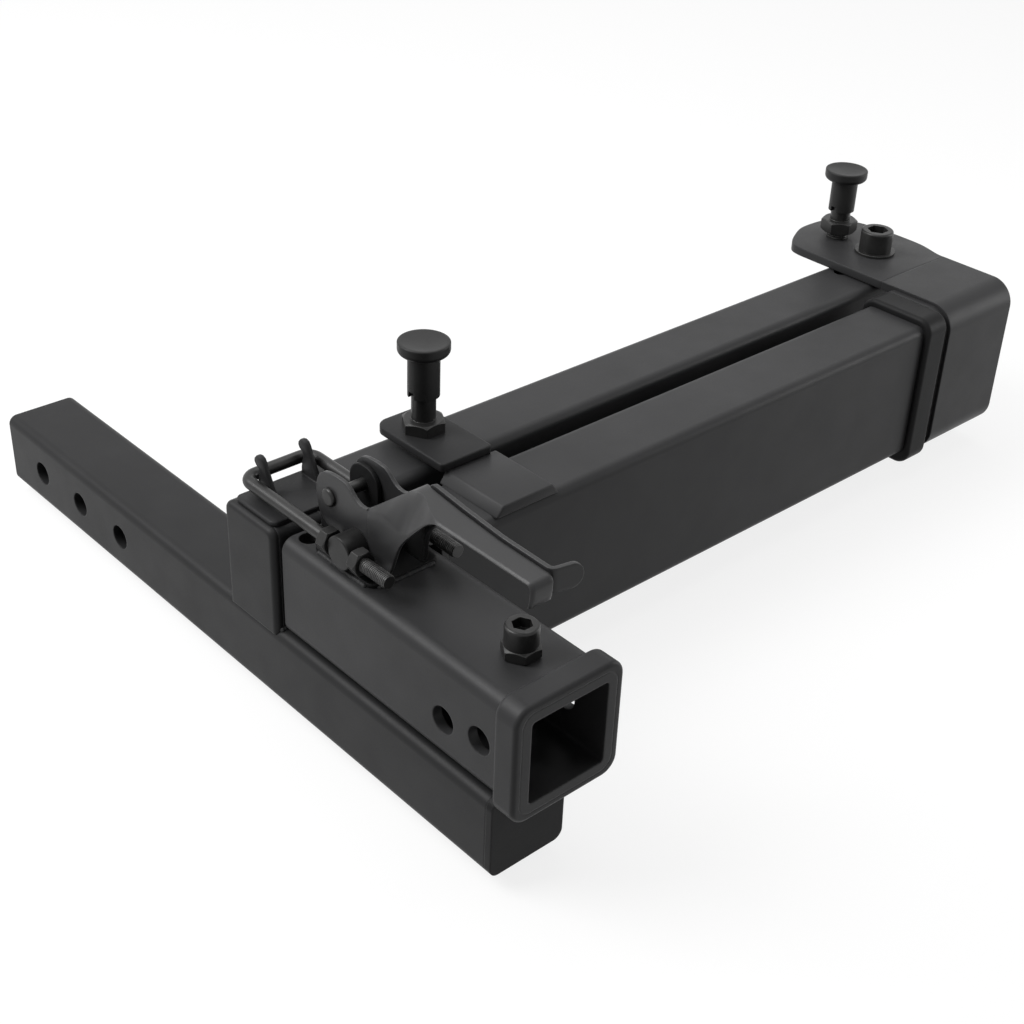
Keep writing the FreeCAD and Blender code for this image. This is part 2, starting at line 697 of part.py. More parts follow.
# The front arm and its hinge, which swing

def makeFrontArm():
    long = "frontEnd - frontStart - capThickness"
    start = "frontStart + capThickness"
    node(armTube("front_arm", "frontArmWidth", long, start, "frontFront"), "front_arm")
    armCap("front_arm_cap", "frontArmWidth", "frontStart", "frontFront")

    band = body("hinge_band", "frontEnd - bandLength", "frontFront", "armBottom")
    rim = rectangle("-bandProud", "frontArmWidth + bandProud", "-bandFootProud", "armHeight + bandTopProud")
    pad(band, sketch(band, "YZ", [rim, armSection("frontArmWidth")]), "bandLength")
    roundEdges(band, "bandCorner", axisX, rim)
    roundEdges(band, "armCorner", axisX, armSection("frontArmWidth"))
    roundRims(band, "bandRound", axisX, "bandProud / 2")

    plate = body("front_arm_end_plate", "frontEnd", "bracketFace + endPlateInset", "lowerTab + endPlateInset")
    wide = "frontArmWidth + 2 * bracketProud - 2 * endPlateInset"
    section = rectangle(0, wide, 0, "upperTabTop - lowerTab - 2 * endPlateInset")
    pad(plate, sketch(plate, "YZ", [section]), "endPlateThick")
    roundEdges(plate, "bracketBend - endPlateInset", axisX, [section[0], section[3]])
    roundEdges(plate, "armCorner", axisX, section[1:3])


def makeHingeBracket():
    bracket = body("hinge_bracket", "bracketStart", "bracketFace", "lowerTab")
    deep = "seam - bracketFace"
    high = "(upperTabTop - lowerTab)"
    under = high + " - tabPlate"
    section = [(0, 0), (deep, 0), (deep, "tabPlate"), ("tabPlate", "tabPlate"), ("tabPlate", under),
               (deep, under), (deep, high), (0, high)]
    pad(bracket, sketch(bracket, "YZ", [section]), "bracketBefore + bracketAfter")
    roundEdges(bracket, "bracketBend", axisX, [section[0], section[7]])
    roundEdges(bracket, "bracketBend - tabPlate", axisX, section[3:5])


def hingeTab(name, level, holes):
    tab = body(name, "pivotX", "seam", level)
    rear = "tabAfterSeam"
    shoulder = "tabSide - tabTaper"
    outline = [
        ("-bracketBefore", 0),
        ("tabNeck", 0),
        ("tabNeck", "tabNeckLong"),
        ("tabSide", "tabNeckLong + tabFlare"),
        ("tabSide", "pivotY - seam"),
        (shoulder, rear + " - tabChamfer"),
        ("tabFlat - tabFlatStart", rear),
        ("-tabFlatStart", rear),
        ("-bracketBefore", rear + " - tabSlope"),
    ]
    pad(tab, sketch(tab, "XY", [outline], holes), "tabPlate")
    roundEdges(tab, "tabNeckRound", axisZ, outline[2:4])
    roundEdges(tab, "tabRound", axisZ, outline[5:])


def makeHingeTabs():
    bore = (0, "pivotY - seam", "bushBore")
    stud = ("plungerTwoSide", "plungerTwoY - seam", "stud / 2 + threadFit")
    hingeTab("hinge_tab_upper", "upperTab", [bore, stud])
    hingeTab("hinge_tab_lower", "lowerTab", [bore])


def capScrew(name, label, x, y, z, across):
    """A socket head cap screw, its head's underside at z. across holds its sizes by name."""
    screw = newBody(name, x, y, z)
    shank, head, high = across["shank"], across["head"], across["high"]
    foot = "-(%s)" % across["long"]
    profile = [(0, foot), (shank, foot), (shank, 0), (head, 0), (head, high), (0, high)]
    revolve(screw, sketch(screw, "XZ", [profile]))
    roundRings(screw, "headRound", [(head, high)])
    top = sketch(screw, "XY", [hexLoop(across["socket"])], offset=high)
    pocket(screw, top, across["deep"], "One side")
    return node(screw, label)


def ring(name, outer, inner, high, x, y, z):
    return cut(name, cylinder(name + "_disc", outer, high, x, y, z),
               cylinder(name + "_hole", inner, high, x, y, z))


def hexNut(name, across, high, bore, x, y, z, along=axisZ):
    return cut(name, hexagon(name + "_block", across, high, x, y, z, along),
               cylinder(name + "_bore", bore, high, x, y, z, along))


def makePivotBolt():
    nutFrom = "lowerTab - washerThick - nutHigh"
    sizesOfBolt = {
        "shank": "pivotBolt / 2", "head": "boltHeadWide / 2", "high": "boltHeadHigh",
        "socket": "boltSocket", "deep": "boltSocketDeep",
        "long": "upperTabTop + washerThick - (%s - boltTip)" % nutFrom,
    }
    capScrew("pivot_screw", "pivot_bolt", "pivotX", "pivotY", "upperTabTop + washerThick", sizesOfBolt)
    rings = [
        ring("washer_" + level, "washerWide / 2", "bushBore", "washerThick", "pivotX", "pivotY", start)
        for level, start in (("upper", "upperTabTop"), ("lower", "lowerTab - washerThick"))
    ]
    node(group("washer_pair", rings), "pivot_washers")
    bore = "pivotBolt / 2 + threadFit"
    node(hexNut("nut_cut", "nutAcross", "nutHigh", bore, "pivotX", "pivotY", nutFrom), "pivot_nut")


def makeStopBlock():
    block = body("stop_block", "blockStart", "frontFront", "armTop")
    flanks = [(0, 0), ("blockFoot", 0), ("blockFoot - blockBevel", "blockHigh"), ("blockBevel", "blockHigh")]
    pad(block, sketch(block, "XZ", [flanks]), "frontArmWidth", back=True)

    tab = body("lock_tab", "plungerOneX", "frontBack - lockTabLap", "blockTop")
    plan = rectangle("-lockTabWide / 2", "lockTabWide / 2", 0, "rearBack - frontBack + lockTabLap")
    hole = (0, "plungerOneY - frontBack + lockTabLap", "stud / 2 + threadFit")
    pad(tab, sketch(tab, "XY", [plan], [hole]), "lockTabThick")
    roundEdges(tab, "lockTabRound", axisZ, plan[2:])


# The two spring plungers

plungers = {
    "1": {
        "x": "plungerOneX", "y": "plungerOneY", "tab": "lockTabTop", "plate": "lockTabThick",
        "standoff": "0", "barrel": "barrelHigh", "sleeve": "sleeveStart", "cap": "capStart",
        "travel": "lockTravel", "turn": 0,
    },
    "2": {
        "x": "plungerTwoX", "y": "plungerTwoY", "tab": "upperTabTop", "plate": "tabPlate",
        "standoff": "standoffTwo", "barrel": "barrelTwoHigh", "sleeve": "sleeveTwoStart",
        "cap": "capTwoStart", "travel": "travelTwo", "turn": 12,
    },
}


def makePlunger(count, own):
    name = "plunger_" + count
    spot = (own["x"], own["y"])
    hexFrom = "(%s + %s)" % (own["tab"], own["standoff"])
    foot = "(%s - %s)" % (own["tab"], own["plate"])
    roof = "(%s + %s - barrelRoof)" % (hexFrom, own["barrel"])
    stud = cylinder(name + "_stud", "stud / 2", "%s - %s" % (hexFrom, foot), *spot, foot)
    hexa = hexagon(name + "_hex", "collarAcross", "hexHigh", *spot, hexFrom, turn=own["turn"])
    tube = cylinder(name + "_barrel", "barrel / 2", own["barrel"], *spot, hexFrom)
    blank = fuse(name + "_blank", [stud, hexa, tube])
    bore = cylinder(name + "_bore", "barrelBore", "%s - %s" % (roof, foot), *spot, foot)
    rodHole = cylinder(name + "_rod_hole", "lockRod / 2 + lockPinFit", "barrelRoof", *spot, roof)
    node(cut(name + "_housing", blank, fuse(name + "_hollow", [bore, rodHole])), name + "_body")

    pin = body(name + "_pin", *spot, foot)
    rodTop = "%s + %s + capHigh / 2 - %s" % (hexFrom, own["cap"], foot)
    edge = "lockPin / 2 - lockPinTip"
    shape = [(0, 0), (edge, 0), ("lockPin / 2", "lockPinTip"), ("lockPin / 2", "lockPinLong"),
             ("lockRod / 2", "lockPinLong"), ("lockRod / 2", rodTop), (0, rodTop)]
    revolve(pin, sketch(pin, "XZ", [shape]))

    makeKnob(name, own, spot, hexFrom, rodTop, foot)
    makeSpring(name, spot, "(%s + lockPinLong)" % foot, roof)


def makeKnob(name, own, spot, hexFrom, rodTop, foot):
    knob = newBody(name + "_knob_blank", *spot, hexFrom)
    inner = "barrel / 2 + sleeveFit"
    room = own["barrel"] + " + sleeveRoom + " + own["travel"]
    rod = "lockRod / 2"
    rodEnd = "%s + %s - %s" % (rodTop, foot, hexFrom)
    cap, top = own["cap"], own["cap"] + " + capHigh"
    wide = "capWide / 2"
    half = [
        (inner, own["sleeve"]), ("sleeve / 2", own["sleeve"]), ("sleeve / 2", cap), (wide, cap), (wide, top),
        (0, top), (0, rodEnd), (rod, rodEnd), (rod, room), (inner, room),
    ]
    revolve(knob, sketch(knob, "XZ", [half]))
    roundRings(knob, "capEdge", [(wide, top)])
    roundRings(knob, "capFoot", [(wide, cap)])
    roundRings(knob, "capFlare", [("sleeve / 2", cap)])
    notch = rectangle("-notchWide / 2", "notchWide / 2", own["sleeve"], own["sleeve"] + " + notchHigh")
    pocket(knob, sketch(knob, "YZ", [notch]))
    ball = doc.addObject("Part::Sphere", name + "_dish")
    bind(ball, Radius="dishRadius")
    move(ball, *spot, hexFrom + " + " + top + " - capDish + dishRadius")
    node(cut(name + "_knob", knob, ball), name + "_knob")


def makeSpring(name, spot, low, high):
    coil = doc.addObject("Part::Helix", name + "_coil")
    mean = "(lockPin / 2 - springWire / 2 - springSide)"
    rise = "(%s - %s - springWire - 2 * springEnd)" % (high, low)
    bind(coil, Radius=mean, Height=rise, Pitch=rise + " / springTurns")
    wire = doc.addObject("Part::Circle", name + "_wire")
    wire.Placement.Rotation = FreeCAD.Rotation(axisX, 90)
    bind(wire, Radius="springWire / 2")
    move(wire, mean)
    spring = doc.addObject("Part::Sweep", name + "_sweep")
    spring.Spine = (coil, ["Edge1"])
    spring.Sections = [wire]
    spring.Solid = True
    spring.Frenet = True
    move(spring, *spot, low + " + springWire / 2 + springEnd")
    node(spring, name + "_spring")


# The receiver

def makeReceiver():
    tube = body("receiver_tube", "receiverOffset", "receiverMouth", "receiverMiddle")
    long = "receiverEnd - receiverMouth"
    pad(tube, sketch(tube, "XZ", [centred("receiverHalf"), centred("receiverBore / 2")]), long, back=True)
    roundEdges(tube, "receiverCorner", axisY, centred("receiverHalf"))
    roundEdges(tube, "receiverBoreCorner", axisY, centred("receiverBore / 2"))
    inner = ("receiverHoleInset", "-receiverHoleSink", "pinHole / 2")
    outer = ("receiverHoleInset - receiverHoleStep", "receiverHoleLift - receiverHoleSink", "pinHole / 2")
    pocket(tube, sketch(tube, "YZ", circles=[inner, outer]))
    drain = ("-drainSide", long + " - drainInset", "drainHole / 2")
    screw = ("antiSide", "antiInset", "antiBolt / 2 + threadFit")
    roof = sketch(tube, "XY", circles=[drain, screw], offset="receiverHalf")
    pocket(tube, roof, "receiverOuter - receiverBore", "One side")

    collar = body("receiver_collar", "receiverOffset", "receiverMouth", "receiverMiddle")
    rim = centred("receiverHalf + collarProud")
    pad(collar, sketch(collar, "XZ", [rim, centred("receiverHalf")]), "mouthOverhang - collarGap", back=True)
    roundEdges(collar, "receiverCorner + collarRound", axisY, rim)
    roundEdges(collar, "receiverCorner", axisY, centred("receiverHalf"))
    roundRims(collar, "collarRound", axisY, "collarProud / 2")


def makeAntiRattle():
    bore = "antiBolt / 2 + threadFit"
    spot = ("antiX", "antiY", "receiverTop")
    node(hexNut("anti_nut_cut", "antiNutAcross", "antiNutHigh", bore, *spot), "anti_rattle_nut")
    sizesOfBolt = {
        "shank": "antiBolt / 2", "head": "antiHeadWide / 2", "high": "antiHeadHigh",
        "socket": "antiSocket", "deep": "antiSocketDeep",
        "long": "receiverTop + antiNutHigh - receiverRoof",
    }
    capScrew("anti_screw", "anti_rattle_bolt", "antiX", "antiY", "receiverTop + antiNutHigh", sizesOfBolt)


# The latch on the receiver

def makeLatchBase():
    base = body("latch_base", "receiverOffset", "latchY", "receiverTop")
    wide, slim = "latchBaseHalf", "latchBaseNarrow"
    front, back, tail = "latchBaseBack - latchBaseLong", "latchBaseBack", "latchBaseBack + latchBaseTail"
    plan = [("-" + wide, front), (wide, front), (wide, back), (slim, back), (slim, tail), ("-" + slim, tail),
            ("-" + slim, back), ("-" + wide, back)]
    pad(base, sketch(base, "XY", [plan]), "latchWall")
    roundEdges(base, "latchBaseRound", axisZ, plan[:3] + plan[7:])
    ear = rectangle("-earHalfLong", "earHalfLong", 0, "pivotRise + earRound")
    for start in ("earOuter - latchWall", "-earOuter"):
        pad(base, sketch(base, "YZ", [ear], offset=start), "latchWall")
    roundEdges(base, "earRound", axisX, ear[2:])
    pocket(base, sketch(base, "YZ", circles=[(0, "pivotRise", "latchRivet / 2 + rivetFit")]))


def crossPin(label, radius, start, end, head, high, bend, spot):
    """A rivet along X between the inner faces of its two heads, which are so wide, high and rounded."""
    rivet = newBody(label + "_blank", *spot)
    rivet.Placement.Rotation = FreeCAD.Rotation(axisZ, axisX)
    wide = "(%s) / 2" % head
    low, top = "%s - %s" % (start, high), "%s + %s" % (end, high)
    profile = [(0, low), (wide, low), (wide, start), (radius, start), (radius, end), (wide, end), (wide, top),
               (0, top)]
    revolve(rivet, sketch(rivet, "XZ", [profile]))
    roundRings(rivet, bend, [(wide, low), (wide, top)])
    node(rivet, label)


def makeLatchHandle():
    handle = body("latch_handle", "receiverOffset", "latchY", "latchZ")
    cheek = [
        ("lobe", "-lobeFoot"), ("lobe", "lobeRise"), ("-lobe / 2", "lobeRise"), ("-saddleBack", "saddleRise"),
        ("-humpBack", "humpRise"), ("-cheekEnd", "humpRise"), ("-cheekEnd", "humpRise - strapThick"),
        ("-cheekBack - cheekSlope", "humpRise - strapThick - cheekDrop"),
        ("-cheekBack", "-cheekWaist"), ("-cheekFoot", "-handleFoot"), ("-heelBack", "-handleFoot"),
    ]
    pad(handle, sketch(handle, "YZ", [cheek]), "handleHalf * 2", "Symmetric")
    roundEdges(handle, "lobe - lobeFlat", axisX, [cheek[1]])
    roundEdges(handle, "lobeRound", axisX, [cheek[2], cheek[3], cheek[0]])
    roundEdges(handle, "humpBend", axisX, [cheek[4]])
    roundCrown(handle)

    under = "humpRise - strapThick"
    hollow = [
        ("runOut", "-runOut"), ("runOut", "runOut"), ("-saddleBack", "runOut"),
        ("-saddleBack", "saddleRise - strapThick"), ("-humpBack - strapThick", under), ("-runOut", under),
        ("-runOut", "-runOut"),
    ]
    pocket(handle, sketch(handle, "YZ", [hollow]), "(handleHalf - latchWall) * 2")
    rivetBore = (0, 0, "latchRivet / 2 + rivetFit")
    barBore = ("-trunnionBack", "-trunnionDrop", "trunnionNeck / 2 + neckFit")
    pocket(handle, sketch(handle, "YZ", circles=[rivetBore, barBore]))
    leverBore = sketch(handle, "YZ", circles=[("-leverPinBack", "leverPinRise", "leverPin / 2")])
    pocket(handle, leverBore, None, "One side", back=True)

    left, right = "-strapEndShift - strapEndHalf", "strapEndHalf - strapEndShift"
    lap = "-cheekEnd + strapLap"
    grip = [("-handleHalf", lap), ("handleHalf", lap), ("handleHalf", "-cheekEnd"), (right, "-strapLong"),
            (left, "-strapLong"), ("-handleHalf", "-cheekEnd")]
    pad(handle, sketch(handle, "XY", [grip], offset=under), "strapThick")
    lip = rectangle(left, right, "-strapLong", "strapThick - strapLong")
    pad(handle, sketch(handle, "XY", [lip], offset="humpRise - strapLip"), "strapLip")
    roundEdges(handle, "strapThick - lipFlat", axisX, [("-strapLong", "humpRise")])


def roundCrown(handle):
    """Rounds the fold between the handle's top and its sides, from the saddle to the grip."""
    side, back, front = number("handleHalf"), -number("saddleBack"), -number("cheekEnd")
    slope = number("(humpRise - saddleRise) / (humpBack - saddleBack)")

    def chosen(edge):
        points = [vertex.Point for vertex in edge.Vertexes]
        onSide = all(abs(abs(point.x) - side) < nearly for point in points)
        middle = edge.CenterOfMass
        line = number("saddleRise") + (back - middle.y) * slope
        above = middle.z > min(line, number("humpRise")) - number("humpBend") / 2
        ahead = back - number("lobe / 2") > middle.y > front
        return onSide and above and ahead and middle.z > number("saddleRise")

    chooseEdges(handle, "handleEdge", chosen)


def makeLever():
    lever = body("release_lever", "receiverOffset", "latchY", "latchZ")
    near, inner = "(handleHalf + leverGap)", "(strapEndHalf - strapEndShift + leverGap)"
    far, outer = near + " + leverThick", inner + " + leverThick"
    front = "-leverPinBack + leverNose"
    end = "-strapLong - leverThick / 2"
    plan = [(near, front), (far, front), (far, "-cheekEnd"), (outer, end), (inner, end), (near, "-cheekEnd")]
    top = "humpRise + leverProud"
    foot = "leverPinRise - leverNose"
    pad(lever, sketch(lever, "XY", [plan], offset=foot), top + " - leverPinRise + leverNose")
    low = top + " - leverDeep"
    brow = "leverPinRise + leverNose"
    over = [(front, brow), ("-humpBack", top), ("-humpBack", "runOut"), ("runOut", "runOut"), ("runOut", brow)]
    under = [("-leverPinBack - leverNose", "-runOut"), ("-leverPinBack - leverNose", foot),
             ("-cheekBack - cheekSlope", low), ("-runOut", low), ("-runOut", "-runOut")]
    pocket(lever, sketch(lever, "YZ", [over]))
    pocket(lever, sketch(lever, "YZ", [under]))
    pocket(lever, sketch(lever, "YZ", circles=[("-leverPinBack", "leverPinRise", "leverPin / 2 + rivetFit")]))
    tongueFrom = "-strapLong + leverThick / 2"
    tongueFoot = low + " - tongueDrop"
    tongue = rectangle(inner, inner + " + tongueWide", tongueFoot, tongueFoot + " + tongueHigh")
    pad(lever, sketch(lever, "XZ", [tongue], offset="-(%s)" % tongueFrom), "leverThick")
    roundEdges(lever, "tongueRound", axisY, tongue[1:3])
    roundEdges(lever, "leverNose - noseFlat", axisX, [(front, brow), (front, foot)])


def makeLatchPins():
    half = "(handleHalf + rivetFit)"
    spot = ("receiverOffset", "latchY", "latchZ")
    head = ("rivetHead", "rivetHeadHigh", "rivetRound")
    crossPin("latch_rivet", "latchRivet / 2", "-" + half, half, *head, spot)
    inside = "(handleHalf - latchWall)"
    outside = "(handleHalf + leverGap + leverThick + rivetFit)"
    spot = ("receiverOffset", "latchY - leverPinBack", "latchZ + leverPinRise")
    head = ("leverHead", "leverHeadHigh", "leverHeadRound")
    crossPin("lever_pin", "leverPin / 2", inside, outside, *head, spot)


def makeHook():
    bar = newBody("trunnion", "receiverOffset", "barY", "barZ")
    bar.Placement.Rotation = FreeCAD.Rotation(axisZ, axisX)
    half, neck = "trunnionHalf", "(handleHalf + neckSide)"
    thick, thin = "trunnion / 2", "trunnionNeck / 2"
    profile = [(0, "-" + half), (thick, "-" + half), (thick, "-" + neck), (thin, "-" + neck), (thin, neck),
               (thick, neck), (thick, half), (0, half)]
    revolve(bar, sketch(bar, "XZ", [profile]))
    roundRings(bar, "trunnionRound", [(thick, "-" + half), (thick, half)])
    legs = [(0, "hookHalf * %d" % side, "hookRod / 2 + hookFit") for side in (-1, 1)]
    pocket(bar, sketch(bar, "XZ", circles=legs))
    node(bar, "trunnion_bar")

    straight = "hookReach - hookBend + hookTail"
    corner = "(hookHalf - hookBend)"
    parts = []
    for side in (-1, 1):
        across = "receiverOffset + hookHalf * %d" % side
        leg = cylinder("hook_leg", "hookRod / 2", straight, across, "barY - hookTail", "barZ", axisY)
        bend = doc.addObject("Part::Torus", "hook_corner")
        bind(bend, Radius1="hookBend", Radius2="hookRod / 2")
        bend.Angle3 = 90
        bend.Placement.Rotation = FreeCAD.Rotation(axisZ, 0 if side > 0 else 90)
        move(bend, "receiverOffset + %s * %d" % (corner, side), "crossbarY - hookBend", "barZ")
        parts += [leg, bend]
    across = "receiverOffset - %s" % corner
    spot = (across, "crossbarY", "barZ")
    parts.append(cylinder("hook_crossbar", "hookRod / 2", corner + " * 2", *spot, axisX))
    node(fuse("hook", parts), "u_bolt")

    nuts = []
    for side in (-1, 1):
        for start in ("barY + trunnion / 2 + hookNutGap", "barY - trunnion / 2 - hookNutGap - hookNutHigh"):
            spot = ("receiverOffset + hookHalf * %d" % side, start, "barZ")
            bore = "hookRod / 2 + threadFit"
            nuts.append(hexNut("hook_nut", "hookNutAcross", "hookNutHigh", bore, *spot, axisY))
    node(group("hook_nuts", nuts), "u_bolt_nuts")


def checkAll():
    for thing in doc.Objects:
        if "Invalid" in thing.State or "Error" in thing.State:
            raise ValueError("%s has failed: %s" % (thing.Label, thing.State))
    for thing in nodes:
        if thing.Shape.isNull() or not thing.Shape.isValid() or not thing.Shape.Solids:
            raise ValueError("%s has no valid solid" % thing.Label)


def writeAll():
    os.makedirs("parts", exist_ok=True)
    for thing in nodes:
        thing.Shape.exportStep("parts/%s.step" % thing.Label)
        print(thing.Label, len(thing.Shape.Solids), round(thing.Shape.Volume))


fillSheet()
makeShank()
makeRearArm(makeShankCore())
makePivotSeat()
makeKeeper()
makeFrontArm()
makeHingeBracket()
makeHingeTabs()
makePivotBolt()
makeStopBlock()
for count, own in plungers.items():
    makePlunger(count, own)
makeReceiver()
makeAntiRattle()
makeLatchBase()
makeLatchHandle()
makeLever()
makeLatchPins()
makeHook()
doc.recompute()
checkAll()
writeAll()
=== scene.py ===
import json
import math

import bmesh
import bpy
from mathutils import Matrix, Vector


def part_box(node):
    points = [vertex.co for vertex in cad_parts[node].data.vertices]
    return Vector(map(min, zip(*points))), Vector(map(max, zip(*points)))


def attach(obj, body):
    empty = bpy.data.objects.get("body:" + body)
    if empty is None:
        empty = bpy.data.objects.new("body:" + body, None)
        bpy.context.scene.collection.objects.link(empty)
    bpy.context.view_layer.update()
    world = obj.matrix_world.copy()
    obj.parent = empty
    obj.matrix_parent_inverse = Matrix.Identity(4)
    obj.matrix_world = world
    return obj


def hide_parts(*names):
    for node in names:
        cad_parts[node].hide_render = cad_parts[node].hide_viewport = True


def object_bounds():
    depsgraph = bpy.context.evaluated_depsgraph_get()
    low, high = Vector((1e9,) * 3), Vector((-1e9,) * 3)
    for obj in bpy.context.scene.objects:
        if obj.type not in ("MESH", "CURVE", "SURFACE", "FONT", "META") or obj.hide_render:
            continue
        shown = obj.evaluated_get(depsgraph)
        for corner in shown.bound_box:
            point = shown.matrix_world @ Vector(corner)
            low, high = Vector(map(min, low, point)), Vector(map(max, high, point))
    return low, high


# Swing-away hitch adapter: finishes, welds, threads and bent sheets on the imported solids, and a
# plain studio. Lengths are in metres unless a note says millimetres. X runs along the arms to
# the pivot, Y towards the vehicle, Z up.

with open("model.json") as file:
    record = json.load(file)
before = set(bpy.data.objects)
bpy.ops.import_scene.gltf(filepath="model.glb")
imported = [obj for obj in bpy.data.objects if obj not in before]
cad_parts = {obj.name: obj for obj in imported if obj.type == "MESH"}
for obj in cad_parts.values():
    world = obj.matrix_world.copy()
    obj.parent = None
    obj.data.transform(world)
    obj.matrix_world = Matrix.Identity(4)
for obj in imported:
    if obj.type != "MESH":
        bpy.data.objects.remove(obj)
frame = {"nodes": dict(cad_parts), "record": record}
cadBox = [[round(side, 5) for side in corner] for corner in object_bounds()]
floorLevel = cadBox[0][2]
print("frame loaded:", len(frame["nodes"]), "solids")


# Small helpers for node trees

def addNode(tree, kind, inputs=(), **settings):
    node = tree.nodes.new(kind)
    for name, value in settings.items():
        setattr(node, name, value)
    for name, value in dict(inputs).items():
        if isinstance(value, bpy.types.NodeSocket):
            tree.links.new(value, node.inputs[name])
        else:
            node.inputs[name].default_value = value
    return node


def calc(tree, operation, first, second):
    return addNode(tree, "ShaderNodeMath", {0: first, 1: second}, operation=operation).outputs[0]


def newMaterial(name):
    material = bpy.data.materials.new(name)
    material.use_nodes = True
    tree = material.node_tree
    return material, tree, tree.nodes["Principled BSDF"]


def spread(tree, value, low, high, fromLow=0.0, fromHigh=1.0):
    inputs = {"Value": value, "From Min": fromLow, "From Max": fromHigh, "To Min": low, "To Max": high}
    return addNode(tree, "ShaderNodeMapRange", inputs).outputs["Result"]


def blend(tree, share, first, second):
    inputs = {0: share, 6: first, 7: second}  # the factor and the two colours of a colour mix
    return addNode(tree, "ShaderNodeMix", inputs, data_type="RGBA").outputs[2]


def noise(tree, place, scale, detail=2.0):
    inputs = {"Vector": place, "Scale": scale, "Detail": detail}
    return addNode(tree, "ShaderNodeTexNoise", inputs).outputs["Fac"]


def shade(level, tint=(1.0, 1.0, 1.0)):
    return tuple(level * part for part in tint) + (1.0,)


# Where each noise starts and ends to count, and how far a softened edge turns before it pales with wear and a
# painted highlight
reach = {"drift": (0.32, 0.68), "edge": (0.72, 0.94), "rub": (0.35, 0.65), "gloss": (0.7, 1.3)}
leastRub = 0.35


# A finish is a base tone that drifts a little over the piece, a fine grain in the gloss and the
# surface, softened edges and a paler line along them: patchy wear that also serves as a painted
# highlight on the edges.
def finish(look):
    material, tree, shader = newMaterial(look["name"])
    place = addNode(tree, "ShaderNodeTexCoord").outputs["Object"]
    cloud = spread(tree, noise(tree, place, look["driftScale"], 4.0), 0.0, 1.0, *reach["drift"])
    tone = blend(tree, cloud, shade(look["dark"], look["tint"]), shade(look["light"], look["tint"]))

    soft = addNode(tree, "ShaderNodeBevel", {"Radius": look["edgeRound"]}, samples=4).outputs["Normal"]
    flat = addNode(tree, "ShaderNodeNewGeometry").outputs["True Normal"]
    turn = addNode(tree, "ShaderNodeVectorMath", {0: soft, 1: flat}, operation="DOT_PRODUCT")
    edge = spread(tree, turn.outputs["Value"], 1.0, 0.0, *reach["edge"])
    rub = spread(tree, noise(tree, place, look["rubScale"], 3.0), leastRub, 1.0, *reach["rub"])
    # Paler edges: rubbed wear in patches, and a painted highlight along every rounded edge
    wearAndEdgeHighlight = calc(tree, "MULTIPLY", edge, rub)
    colour = blend(tree, wearAndEdgeHighlight, tone, shade(look["edgeWearAndHighlightTone"], look["tint"]))
    tree.links.new(colour, shader.inputs["Base Color"])

    grain = noise(tree, place, look["grainScale"], 2.0)
    mixed = calc(tree, "ADD", grain, noise(tree, place, look["smearScale"], 3.0))
    low, high = look["roughness"]
    tree.links.new(spread(tree, mixed, low, high, *reach["gloss"]), shader.inputs["Roughness"])
    bump = addNode(tree, "ShaderNodeBump", {
        "Height": grain, "Normal": soft, "Strength": look["bump"], "Distance": look["depth"],
    })
    tree.links.new(bump.outputs["Normal"], shader.inputs["Normal"])
    shader.inputs["Metallic"].default_value = look["metal"]
    shader.inputs["IOR"].default_value = look["ior"]
    return material


# The edge tone is the paler colour on the edges: partly wear, partly a painted highlight
powderCoat = {
    "name": "satinPowderCoat", "dark": 0.030, "light": 0.038, "tint": (1.0, 1.0, 1.03), "driftScale": 14.0,
    "edgeRound": 0.0014, "rubScale": 60.0, "edgeWearAndHighlightTone": 0.060, "grainScale": 1100.0, "smearScale": 45.0,
    "roughness": (0.38, 0.48), "bump": 0.16, "depth": 0.0001, "metal": 0.0, "ior": 1.26,
}
latchCoat = dict(
    powderCoat, name="latchCoat", dark=0.024, light=0.031, edgeRound=0.0007, roughness=(0.33, 0.43),
    edgeWearAndHighlightTone=0.13, ior=1.36,
)
# Darker copies of the powder coat, painted shade: for the shank, its end plate, the stub plate, the hinge
# band, the latch base and the receiver collar
paintedShadeShankCoat = dict(powderCoat, name="paintedShadeShankCoat", dark=0.019, light=0.026, ior=1.22)
paintedShadeDeepCoat = dict(powderCoat, name="paintedShadeDeepCoat", dark=0.011, light=0.018, ior=1.18)
paintedShadeCollarCoat = dict(powderCoat, name="paintedShadeCollarCoat", dark=0.027, light=0.036, ior=1.24)
blackOxide = {
    "name": "blackOxideSteel", "dark": 0.014, "light": 0.026, "tint": (1.0, 0.99, 0.98), "driftScale": 90.0,
    "edgeRound": 0.0005, "rubScale": 300.0, "edgeWearAndHighlightTone": 0.22, "grainScale": 1900.0, "smearScale": 160.0,
    "roughness": (0.28, 0.42), "bump": 0.15, "depth": 0.00006, "metal": 0.2, "ior": 1.4,
}
barSteel = dict(blackOxide, name="barSteel", dark=0.009, light=0.015, ior=1.3)
knobPlastic = {
    "name": "knobPlastic", "dark": 0.015, "light": 0.02, "tint": (1.0, 1.0, 1.0), "driftScale": 40.0,
    "edgeRound": 0.0005, "rubScale": 200.0, "edgeWearAndHighlightTone": 0.035, "grainScale": 2600.0, "smearScale": 90.0,
    "roughness": (0.38, 0.50), "bump": 0.2, "depth": 0.00005, "metal": 0.0, "ior": 1.29,
}
groundSteel = {
    "name": "groundSteel", "dark": 0.42, "light": 0.55, "tint": (1.0, 0.99, 0.97), "driftScale": 70.0,
    "edgeRound": 0.0004, "rubScale": 200.0, "edgeWearAndHighlightTone": 0.65, "grainScale": 2400.0, "smearScale": 120.0,
    "roughness": (0.24, 0.38), "bump": 0.12, "depth": 0.00004, "metal": 1.0, "ior": 1.5,
}
bushBronze = dict(
    groundSteel, name="bushBronze", dark=0.36, light=0.46, tint=(1.0, 0.74, 0.42), roughness=(0.3, 0.44),
)

